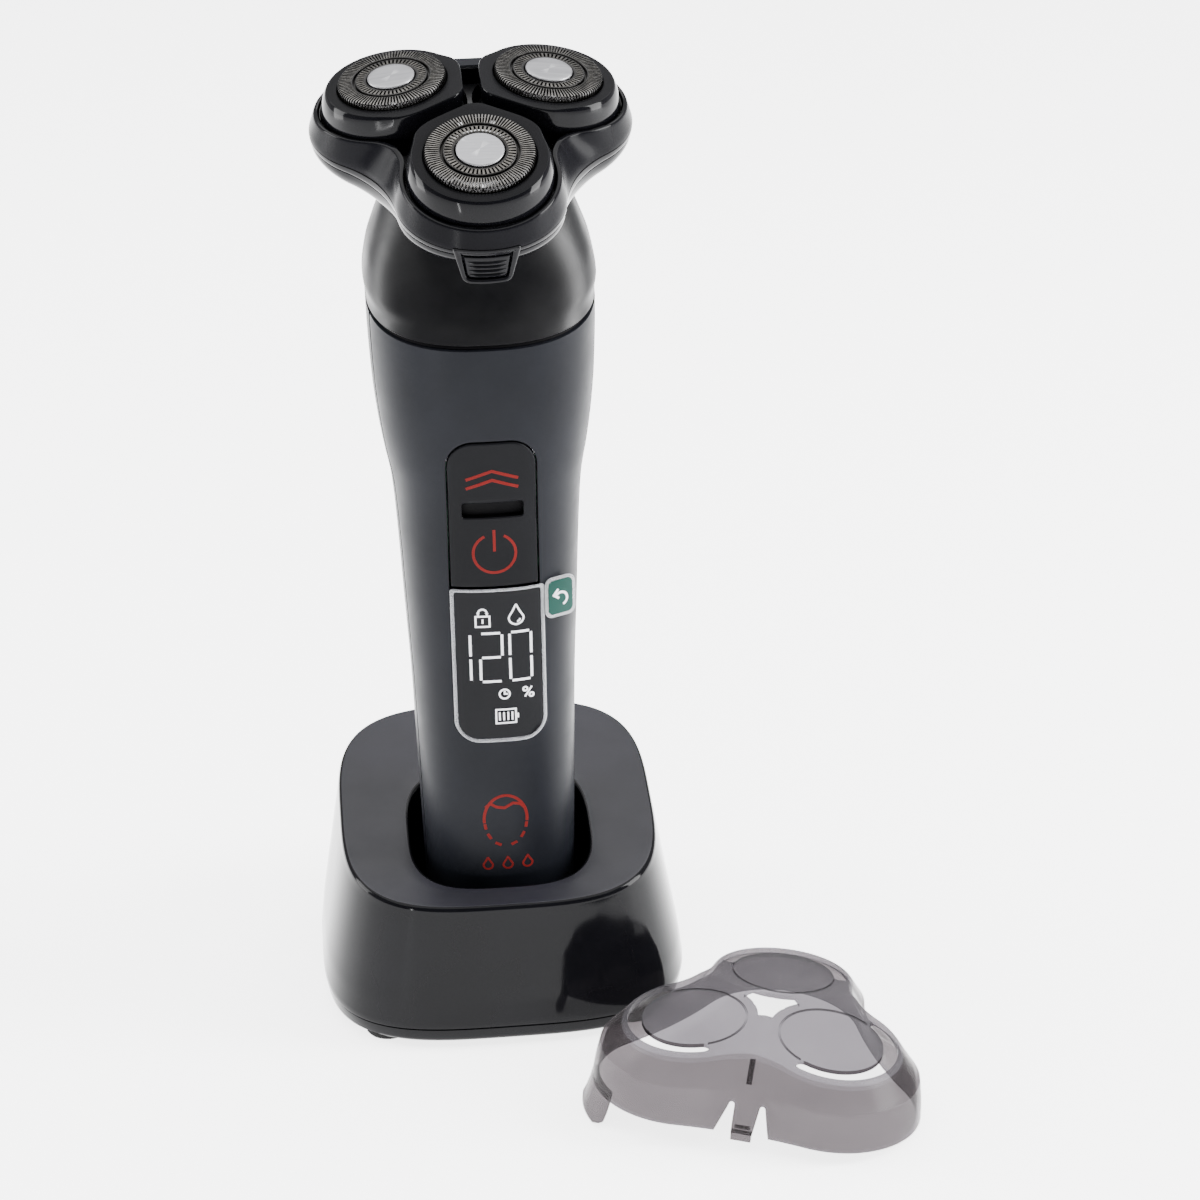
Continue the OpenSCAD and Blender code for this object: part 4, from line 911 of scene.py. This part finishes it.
def cone_point(x, s, r_out, z0=-11.5, slope=0.48):
    """Point on the sloping skin round the front lobe: x across, z = s, radius r_out at z0."""
    r = r_out + slope * (s - z0)
    return x, -POD_C - math.sqrt(max(r * r - x * x, 0.01)), s


def trapezoid(top, bottom, z0, z1, rt, rb, n=96):
    """Closed outline, symmetric in x, corners rounded."""
    pts = []
    half = [(0, z0), (top / 2, z0), (bottom / 2, z1), (0, z1)]

    def fillet(a, p, b, r):
        d1, d2 = (Vector(a) - Vector(p)).normalized(), (Vector(b) - Vector(p)).normalized()
        k = r / math.tan(d1.angle(d2) / 2)
        p1, p2 = Vector(p) + d1 * k, Vector(p) + d2 * k
        return [tuple(p1 * (1 - t) ** 2 + Vector(p) * 2 * t * (1 - t) + p2 * t * t)
                for t in [i / 8 for i in range(9)]]
    side = ([half[0]] + fillet(half[0], half[1], half[2], rt)
            + fillet(half[1], half[2], half[3], rb) + [half[3]])
    pts = side + [(-x, z) for x, z in reversed(side[1:-1])]
    return resample(pts + [pts[0]], n)[:-1]


BEZ_Z = -10.9
bez_o = trapezoid(12.6, 8.8, BEZ_Z, BEZ_Z - 7.2, 0.35, 1.7)
bez_i = trapezoid(9.6, 7.6, BEZ_Z - 0.8, BEZ_Z - 6.4, 0.25, 1.1)
rings = []
for t, r in ((0, 13.0), (0, 16.0), (0.04, 16.18), (0.16, 16.32), (0.4, 16.36), (0.68, 16.3),
             (0.92, 16.12), (1, 15.98), (1, 13.0)):
    ring_pts = [cone_point(*mix(p, q, t), r, slope=0) for p, q in zip(bez_o, bez_i)]
    if r == 13.0:       # the back stays clear of the frame above and of the base behind
        ring_pts = [cone_point(x, z, 16.0 if z > -12.42 else 13.4 + (z + 12.42) * 0.44, slope=0)
                    for x, y, z in ring_pts]
    rings.append(ring_pts)
loop_piece("latch_bezel_skin", rings, "lid", [GLOSS], slot="black_satin", node="latch_bezel",
           sharp=38, at=HEAD)

btn = trapezoid(8.7, 7.4, -12.55, -17.05, 0.25, 0.9)
mid = (0.0, -14.8)
rings = [[cone_point(x, z, 13.9, slope=0) for x, z in btn],
         [cone_point(x, z, 15.6, slope=0) for x, z in btn]]
for t, r in ((0.03, 15.8), (0.08, 15.88), (0.2, 15.9), (0.4, 15.9), (0.6, 15.9), (0.8, 15.9),
             (0.97, 15.9)):
    rings.append([cone_point(*mix(p, mid, t), r, slope=0) for p in btn])
v = [p for r in rings for p in r]
f = tube_faces(len(rings), len(btn))
for z in (-13.7, -14.6, -15.5, -16.4):     # grip ribs, half round
    w = 7.6 + (z + 12.6) * 0.2
    start, cols_n, rows_n = len(v), 20, 6
    for i in range(cols_n + 1):
        x = -w / 2 + w * i / cols_n
        fade = min(1, 6 * min(i, cols_n - i) / cols_n)
        for k in range(rows_n + 1):
            a = math.pi * k / rows_n
            v.append(cone_point(x, z + 0.27 * math.cos(a), 15.8 + (0.1 + 0.32 * fade) * math.sin(a),
                                slope=0))
    row = rows_n + 1
    for i in range(cols_n):
        for k in range(rows_n):
            a = start + i * row + k
            f.append((a, a + row, a + row + 1, a + 1))
        a = start + i * row
        f.append((a, a + rows_n, a + row + rows_n, a + row))
    f += [tuple(start + k for k in range(row)), tuple(start + cols_n * row + k for k in range(row))]
make("release_button_skin", v, f, "button", [GLOSS], slot="black_satin", node="release_button",
     sharp=35, at=HEAD)

# hinged cutter frame: skirt, rolled lip, inner wall
TILT = math.tan(math.radians(8))
FQ = [(-12.4, 15.6, 26, 0.0), (-12.3, 15.7, 26, 0.02), (-12.0, 15.8, 25.6, 0.07),
      (-11.5, 15.86, 24.8, 0.16), (-11.08, 15.88, 23.9, 0.23), (-11.0, 15.66, 23.9, 0.24),
      (-10.88, 15.66, 23.5, 0.26), (-10.8, 15.9, 23.1, 0.28), (-10.4, 15.9, 21.8, 0.36),
      (-9.8, 15.83, 19.5, 0.48), (-9.1, 15.7, 17, 0.6), (-8.4, 15.54, 14.8, 0.72),
      (-7.6, 15.37, 12.6, 0.82), (-6.9, 15.2, 11, 0.9), (-6.3, 15.06, 9.9, 0.95),
      (-5.85, 14.95, 9.2, 0.98), (-5.6, 14.86, 8.7, 1.0), (-5.45, 14.74, 8.3, 1.0),
      (-5.4, 14.6, 8.1, 1.0)]
rings = [lobe_ring(POD_C, r, k, z, 216, fall=w * TILT) for z, r, k, w in FQ]
# painted shade: the step in the skirt and the inner wall take the darkest black
bands = [1] * 4 + [2] * 3 + [0] * (len(rings) - 10) + [1, 1, 1]
rings += [lobe_ring(POD_C, 14.25, 8.45, -5.4, 216, fall=TILT),
          lobe_ring(POD_C, 14.1, 8.6, -5.46, 216, fall=TILT),
          lobe_ring(POD_C, 14.02, 8.68, -5.65, 216, fall=TILT),
          lobe_ring(POD_C, 14.0, 8.7, -8, 216, fall=0.8 * TILT),
          lobe_ring(POD_C, 14.0, 8.7, -12.4, 216)]
bands += [1, 1, 2, 2, 2]
loop_piece("cutter_frame_skin", rings, "lid", [FRAME, GLOSS, DARK_PARTS_AND_RECESS_SHADE], bands, slot="black_satin",
           node="cutter_frame", sharp=40, at=HEAD)
hinge_c = HEAD.inverted() @ Vector(J["head_open"]["pos_m"]) / MM
rings = []
for x in (-3.7, -3.5, 3.5, 3.7):
    r = 2.1 if abs(x) < 3.6 else 1.9
    rings.append([(x, hinge_c.y + r * math.cos(a), hinge_c.z + r * math.sin(a))
                  for a in [2 * math.pi * i / 40 for i in range(40)]])
capped_piece("hinge_knuckle", rings, "lid", [SATIN], slot="black_satin", sharp=35, at=HEAD)
outline = [(17.6, -12.3), (24.2, -12.3), (24.2, -10.4), (21.4, -10.2), (20.6, -8.6), (20.55, -4.3),
           (20.1, -3.85), (17.5, -3.85)]
rings = [[(x, y, z) for y, z in outline] for x in (-4.45, -4.3, 4.3, 4.45)]
capped_piece("hinge_bridge", rings, "lid", [SATIN], slot="black_satin", sharp=35, at=HEAD,
             bevel=0.15)
rings = []
for s in (-1, 1):
    ring_pts = []
    for x in (s * 5.4 - 1.2, s * 5.4 + 1.2):
        ring_pts.append([(x, hinge_c.y + 2.1 * math.cos(a), hinge_c.z + 2.1 * math.sin(a))
                         for a in [2 * math.pi * i / 40 for i in range(40)]])
    capped_piece("hinge_lug_left" if s < 0 else "hinge_lug_right", ring_pts, "head", [GLOSS],
                 slot="black_gloss", sharp=35, at=HEAD, bevel=0.12)


# floating pods
def pod_ring(r, flat, z, n=180):
    out = []
    for i in range(n):
        t = 360 * i / n
        s = abs(t - 180)
        e = smooth01((75 - s) / 45)
        f_ = flat / math.cos(math.radians(30 - min(s, 60)))
        if s < 16:
            tip = flat * (1.100 - 0.062 * (s / 16) ** 2 + 0.004)
            f_ = min(f_, tip)
        d = r + (f_ - r) * e
        out.append((d * math.cos(math.radians(t)), d * math.sin(math.radians(t)), z))
    return out


def circle(r, z, n=180):
    return [(r * math.cos(2 * math.pi * i / n), r * math.sin(2 * math.pi * i / n), z)
            for i in range(n)]


PQ = [(13.2, 12.6, -7.2), (13.35, 12.75, -7.0), (13.55, 12.9, -6.1), (13.62, 13.0, -5.2),
      (13.5, 13.06, -4.2), (13.3, 13.1, -3.2), (13.1, 13.14, -2.4), (12.88, 13.15, -1.8),
      (12.7, 13.11, -1.45), (12.56, 13.03, -1.25), (12.43, 12.92, -1.16), (12.28, 12.8, -1.15)]
FLARE = math.tan(math.radians(8))
for k in (1, 2, 3):
    rings = [[(x - (z + 1.15) * FLARE, y, z) for x, y, z in pod_ring(*q)] for q in PQ]
    bands = [0] * (len(PQ) - 2) + [1, 1]
    top = pod_ring(12.28, 12.8, -1.15)
    for t in (0.35, 0.7):
        rings.append([mix(p, q, t) for p, q in zip(top, circle(GUARD_R + 0.4, -1.15))])
        bands.append(1)
    # painted shade: the walls round the guard take the darkest black
    for dr, z, b in ((0.4, -1.15, 1), (0.25, -1.2, 1), (0.14, -1.35, 2), (0.1, -5.6, 2),
                     (-0.9, -5.6, 2), (-0.9, -7.2, 2)):
        r = GUARD_R + dr
        rings.append(circle(r, z))
        bands.append(b)
    loop_piece(f"pod_skin_{k}", rings, f"pod_{k}", [GLOSS, PLATE, DARK_PARTS_AND_RECESS_SHADE], bands, slot="pod_grey",
               node=f"pod_{k}", sharp=38, at=POD[k - 1])


# steel combs: a skin of bars and slots; these stretches of the profile are slotted
OUTER_SLOTS, INNER_SLOTS = range(15, 21), 5


def comb_mesh():
    """Outer and inner skin of a guard on a grid of angle by profile, slots left out."""
    n, g = 500, GUARD_R
    prof_o = [(4.05, -0.62), (4.3, -0.6), (4.62, -0.2), (4.8, -0.05), (5.0, 0.0), (5.2, 0.0),
              (6.55, 0.0), (6.72, -0.02), (6.8, -0.08), (6.86, -0.22), (6.86, -0.75),
              (7.24, -0.75), (7.24, -0.22), (7.3, -0.08), (7.4, -0.01), (7.55, 0.0),
              (g - 0.65, 0.0), (g - 0.4, -0.04), (g - 0.2, -0.16), (g - 0.06, -0.38),
              (g - 0.01, -0.66), (g, -1.05), (g, -3.2), (g, -5.4)]
    off = []
    for i, p in enumerate(prof_o):
        a, b = prof_o[max(i - 1, 0)], prof_o[min(i + 1, len(prof_o) - 1)]
        d = Vector((b[0] - a[0], b[1] - a[1])).normalized()
        off.append((p[0] + d.y * 0.3, p[1] - d.x * 0.3))
    m = len(prof_o)

    def keep(i, j):
        if i in OUTER_SLOTS:
            return j % 5 < 2
        return i != INNER_SLOTS or j % 10 < 5
    verts, faces = [], []
    for prof_ in (prof_o, off):
        for r, z in prof_:
            verts += [(r * math.cos(2 * math.pi * j / n), r * math.sin(2 * math.pi * j / n), z)
                      for j in range(n)]
    o = m * n
    painted_shade_index = []

    def idx(i, j):
        return i * n + j % n
    for i in range(m - 1):
        for j in range(n):
            if not keep(i, j):
                continue
            a, b, c, d = idx(i, j), idx(i, j + 1), idx(i + 1, j + 1), idx(i + 1, j)
            faces += [(a, b, c, d), (o + a, o + d, o + c, o + b)]
            # painted light: outer faces on the tops of the slotted rows take the lighter steel (0), all
            # other faces the darker copy (1)
            painted_shade_index += [0 if i in (INNER_SLOTS, *OUTER_SLOTS[:3]) else 1, 1]
            if i == 0 or not keep(i - 1, j):
                faces.append((a, o + a, o + b, b))
            if i == m - 2 or not keep(i + 1, j):
                faces.append((d, c, o + c, o + d))
            if not keep(i, j - 1):
                faces.append((a, d, o + d, o + a))
            if not keep(i, j + 1):
                faces.append((b, o + b, o + c, c))
            painted_shade_index += [1] * (len(faces) - len(painted_shade_index))
    return verts, faces, painted_shade_index


cv, cf, comb_painted_shade_index = comb_mesh()
cap_prof = [(0.02, -0.6), (4.2, -0.6), (4.4, -0.2), (4.45, 0.05), (4.42, 0.18), (4.32, 0.28),
            (4.15, 0.335), (3.6, 0.352), (2.4, 0.37), (1.2, 0.378), (0.02, 0.38)]
for k in (1, 2, 3):
    make(f"guard_skin_{k}", cv, cf, f"pod_{k}", [COMB, COMB_PAINTED_SHADE], slot="guard_steel",
         node=f"guard_{k}", sharp=25, at=POD[k - 1], index=comb_painted_shade_index)
    capped_piece(f"guard_cap_skin_{k}", lathe(cap_prof), f"pod_{k}", [DISC], slot="bright_steel",
                 node=f"guard_cap_{k}", sharp=40, at=POD[k - 1])

# ---------------------------------------------------------------- protective cap
CAP_H, CAP_T, FACE_C = 14.0, 0.85, 15.6
FACE_K = math.tan(math.radians(6.9))
CQ = [(0.0, 17.4, 17.05, 90, 0.0), (0.12, 17.4, 17.18, 90, 0.0), (0.4, 17.4, 17.2, 86, 0.0),
      (1.6, 17.37, 17.15, 74, 0.0), (3.0, 17.33, 17.08, 55, 0.0), (4.6, 17.25, 16.95, 41, 0.03),
      (6.2, 17.12, 16.82, 31, 0.09), (7.4, 17.0, 16.72, 24, 0.15), (8.2, 16.93, 16.63, 20.5, 0.19),
      (8.5, 16.85, 16.5, 18.5, 0.23), (8.75, 16.72, 16.33, 16.5, 0.28), (9.2, 16.62, 16.12, 15.6, 0.35),
      (10.2, 16.4, 15.6, 15, 0.52), (11.2, 16.16, 15.1, 15, 0.68), (12.1, 15.94, 14.66, 15, 0.82),
      (12.8, 15.78, 14.3, 15, 0.92), (13.3, 15.66, 13.98, 15, 0.98), (13.65, 15.58, 13.7, 15, 1.0),
      (13.88, 15.53, 13.42, 15, 1.0), (13.98, 15.5, 13.2, 15, 1.0), (14.0, 15.5, 12.98, 15, 1.0)]


def cap_ring(q, inset=0.0, drop_=0.0):
    z, c, r, k, w = q
    return lobe_ring(c, r - inset, k + inset, z - drop_, 180, fall=w * FACE_K, start=-30)


def face_ring(scale, drop_):
    """Ring on the three tilted faces of the top, a scaled copy of the edge outline."""
    out = []
    for x, y, z in lobe_ring(15.5, 12.98, 15, 0, 180, start=-30):
        deg = math.degrees(math.atan2(y, x))
        phi = math.radians(abs((deg + 30 + 60) % 120 - 60))
        d = math.hypot(x, y) * scale
        out.append((x * scale, y * scale, CAP_H - drop_ - FACE_K * (d * math.cos(phi) - FACE_C)))
    return out


rings = [cap_ring(q) for q in CQ]
rings += [face_ring(s, 0) for s in (0.85, 0.65, 0.45, 0.3, 0.12)]
rings += [face_ring(s, CAP_T) for s in (0.12, 0.3, 0.45, 0.65, 0.85, 0.94)]
rings += [cap_ring(q, CAP_T) for q in reversed([q for q in CQ if q[0] < 12.2 and q[0] != 0.12])]
# painted shade: rings of the walls (0 < z < 12.5) take the darker smoke copy
bands = [1 if 0 < z < 12.5 else 0 for z in (sum(p[2] for p in r) / len(r) for r in rings)]
verts = [p for r in rings for p in r]
cap_lo, cap_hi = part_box("protective_cap")
turn = (Matrix.Rotation(math.radians(-18.6), 4, "Z") @ Matrix.Rotation(math.radians(-3.4), 4, "X")
        @ Matrix.Rotation(math.radians(4.2), 4, "Y"))
FOOT = []
for z, r0, r1 in ((1.5, 15.9, 17.1), (0.6, 16.0, 17.3), (-1.0, 16.35, 17.62), (-3.0, 16.85, 18.12),
                  (-4.8, 17.35, 18.6), (-5.5, 17.55, 18.8), (-5.8, 17.8, 18.7)):
    row_i, row_o = [], []
    for i in range(21):
        short = max(0.0, abs(i - 10) / 10 - 0.62) * 3.2 if z < -2.4 else 0.0
        a = math.radians(210 - 22 + 38 * i / 20)
        cx, cy = 17.4 * math.cos(math.radians(210)), 17.4 * math.sin(math.radians(210))
        zz = z + short * (-z - 2.4) / 3.4 * 0.9
        row_i.append((cx + r0 * math.cos(a), cy + r0 * math.sin(a), zz))
        row_o.append((cx + r1 * math.cos(a), cy + r1 * math.sin(a), zz))
    FOOT.append((row_o, row_i))
foot_v, foot_f = slab([r[0] for r in FOOT], [r[1] for r in FOOT])
box_pts = [turn @ Vector((x * MM, y * MM, (z - CAP_H) * MM)) for x, y, z in verts + foot_v]
lo = Vector(tuple(min(p[i] for p in box_pts) for i in range(3)))
hi = Vector(tuple(max(p[i] for p in box_pts) for i in range(3)))
CAP = (Matrix.Translation((cap_lo + cap_hi) / 2 - (lo + hi) / 2) @ turn
       @ Matrix.Translation((0, 0, -CAP_H * MM)))
cap = make("cap_skin", verts, torus_faces(len(rings), 180), "cap", [SMOKE, SMOKE_WALL_PAINTED_SHADE, SMOKE_EDGE_PAINTED_SHADE],
           slot="smoke", node="protective_cap", sharp=28, at=CAP,
           index=[b for b in bands for _ in range(180)])


def arc_outline(r0, r1, span, n=56):
    """Outline of an arc slot with round ends, middle direction +x."""
    rm, rr = (r0 + r1) / 2, (r1 - r0) / 2
    h = math.radians(span / 2)
    pts = [(r1 * math.cos(-h + 2 * h * i / n), r1 * math.sin(-h + 2 * h * i / n)) for i in range(n + 1)]
    for i in range(1, 8):
        a = h + math.pi * i / 8
        pts.append((rm * math.cos(h) + rr * math.cos(a), rm * math.sin(h) + rr * math.sin(a)))
    pts += [(r0 * math.cos(h - 2 * h * i / n), r0 * math.sin(h - 2 * h * i / n)) for i in range(n + 1)]
    for i in range(1, 8):
        a = -h + math.pi + math.pi * i / 8
        pts.append((rm * math.cos(-h) + rr * math.cos(a), rm * math.sin(-h) + rr * math.sin(a)))
    return pts


def spun(deg, dx):
    c, s = math.cos(math.radians(deg)), math.sin(math.radians(deg))
    return lambda x, y, z: ((x + dx) * c - y * s, (x + dx) * s + y * c, z)


LOBES = (-30, 90, 210)
cutters = [prism(arc_outline(10.1, 12.95, 158), 8, 20, spun(a, FACE_C)) for a in LOBES]
for a in LOBES:       # a fine groove shows the rest of each face's edge
    turned = spun(a, FACE_C)
    cutters.append(prism([(-x, -y) for x, y in arc_outline(10.02, 10.34, 186)], -0.3, 3,
                         lambda x, y, z, t=turned: t(x, y, CAP_H - FACE_K * x + z)))
tri = []
for i in range(3):
    a0 = 90 + 120 * i
    pts = []
    for s in range(-20, 21):
        b = math.radians(a0 + 180 + s * 1.0 * 1.15)
        pts.append((FACE_C * math.cos(math.radians(a0)) + 12.3 * math.cos(b),
                    FACE_C * math.sin(math.radians(a0)) + 12.3 * math.sin(b)))
    tri.append([p for p in pts if math.hypot(*p) < 5.75])
tri_outline = [p for part in tri for p in reversed(part)]
cutters.append(prism(tri_outline, 8, 20))
for q in ((-5.5, -2.0, -1.9, -3.0), (2.0, 5.4, 4.1, 3.0)):
    top_z = 5.9
    rr = (q[2] - q[3]) / 2 if q[2] > q[3] else 0.5
    cxm = (q[2] + q[3]) / 2
    pts = [(q[0], -0.5), (q[1], -0.5)]
    pts += [(cxm + rr * math.cos(a), top_z - rr + rr * math.sin(a))
            for a in [math.pi * i / 10 for i in range(11)]]
    cutters.append(prism(pts, 18, 30, lambda x, y, z: (x, -z, y)))
cut(cap, cutters, CAP)
back = CAP.inverted()
for poly in cap.data.polygons:      # painted shade: the slots' inner edges are looked at end on, so they take the near-black smoke copy
    up = (back.to_3x3() @ poly.normal).normalized()
    x, y, z = back @ poly.center / MM
    for a in LOBES:
        fx = x - FACE_C * math.cos(math.radians(a))
        fy = y - FACE_C * math.sin(math.radians(a))
        if abs(up.z) < 0.3 and z > 11 and math.hypot(fx, fy) < 10.4:
            poly.material_index = 2
v, f = [], []
for part in (slab([r[0] for r in FOOT], [r[1] for r in FOOT]),
             slab([[(x, -24.75 + d, z) for x in (-1.95, -0.7, 0.7, 1.95)] for z, d in
                   ((0.3, 0.0), (-0.9, 0.0), (-1.5, 0.05), (-1.6, 0.3))],
                  [[(x, -23.55 - d, z) for x in (-1.95, -0.7, 0.7, 1.95)] for z, d in
                   ((0.3, 0.0), (-0.9, 0.0), (-1.5, 0.05), (-1.6, 0.3))]),
             slab([[(x, -23.6, z) for x in (-1.5, 1.5)] for z in (1.3, 0.5)],
                  [[(x, -23.1, z) for x in (-1.5, 1.5)] for z in (1.1, 0.7)]),
             slab([[(s, y, z) for y, z in ((-17.7, 12.5), (-20.3, 8.4))] for s in (0.5, -0.5)],
                  [[(s, y, z) for y, z in ((-16.6, 12.0), (-19.1, 8.0))] for s in (0.5, -0.5)])):
    n0 = len(v)
    v += part[0]
    f += [tuple(n0 + i for i in q) for q in part[1]]
# painted shade: the foot and catch take the darker smoke copy
make("cap_foot_and_catch", v, f, "cap", [SMOKE_WALL_PAINTED_SHADE], slot="smoke", sharp=35, at=CAP)

# ---------------------------------------------------------------- floor, light
me = bpy.data.meshes.new("floor")
n, r = 96, 6.0
fv = [(0, 0, 0)] + [(rr * math.cos(2 * math.pi * i / n), rr * math.sin(2 * math.pi * i / n), 0.0)
                    for rr in (0.3, 1.0, r) for i in range(n)]
ff = [(0, 1 + i, 1 + (i + 1) % n) for i in range(n)]
for k in range(2):
    ff += [(1 + k * n + i, 1 + (k + 1) * n + i, 1 + (k + 1) * n + (i + 1) % n, 1 + k * n + (i + 1) % n)
           for i in range(n)]
me.from_pydata(fv, [], ff)
floor = bpy.data.objects.new("floor", me)
COL.objects.link(floor)
fm, nt, bs = new_material("floor_pale")
link(nt, tint(nt, noise(nt, 3, 2), (0.90, 0.90, 0.905), (0.93, 0.93, 0.935)), bs.inputs["Base Color"])
link(nt, ranged(nt, noise(nt, 20, 3), 0.5, 0.6), bs.inputs["Roughness"])
bs.inputs["Specular IOR Level"].default_value = 0.2
bs.inputs["Emission Color"].default_value = (1, 1, 1, 1)
bs.inputs["Emission Strength"].default_value = 3.4
me.materials.append(fm)


def area(name, place, target, size, power, size_y=None):
    d = bpy.data.lights.new(name, "AREA")
    d.energy, d.size = power, size
    if size_y:
        d.shape, d.size_y = "RECTANGLE", size_y
    ob = bpy.data.objects.new(name, d)
    COL.objects.link(ob)
    ob.location = place
    ob.rotation_mode = "QUATERNION"
    ob.rotation_quaternion = (Vector(target) - Vector(place)).to_track_quat("-Z", "Y")


area("top", (0, 0.1, 1.4), (0, 0, 0.05), 2.2, 50)
area("left", (-1.0, 0.2, 0.35), (0, 0, 0.1), 0.4, 14, 0.9)
area("right", (0.95, -0.15, 0.45), (0, 0, 0.12), 0.4, 28, 0.9)
area("strip", (-0.22, -0.34, 0.015), (-0.02, -0.03, 0.18), 0.012, 0.5, 0.3)
world = bpy.data.worlds.new("studio")
bpy.context.scene.world = world
world.use_nodes = True
nt = world.node_tree
bg = nt.nodes["Background"]
tc = nt.nodes.new("ShaderNodeTexCoord")
sep = nt.nodes.new("ShaderNodeSeparateXYZ")
link(nt, tc.outputs["Generated"], sep.inputs[0])
link(nt, tint(nt, ranged(nt, sep.outputs["Y"], 0.0, 1.0, -0.75, 0.2), (0.10, 0.10, 0.105),
              (0.95, 0.95, 0.97), 0.0, 1.0), bg.inputs["Color"])
bg.inputs["Strength"].default_value = 1.0
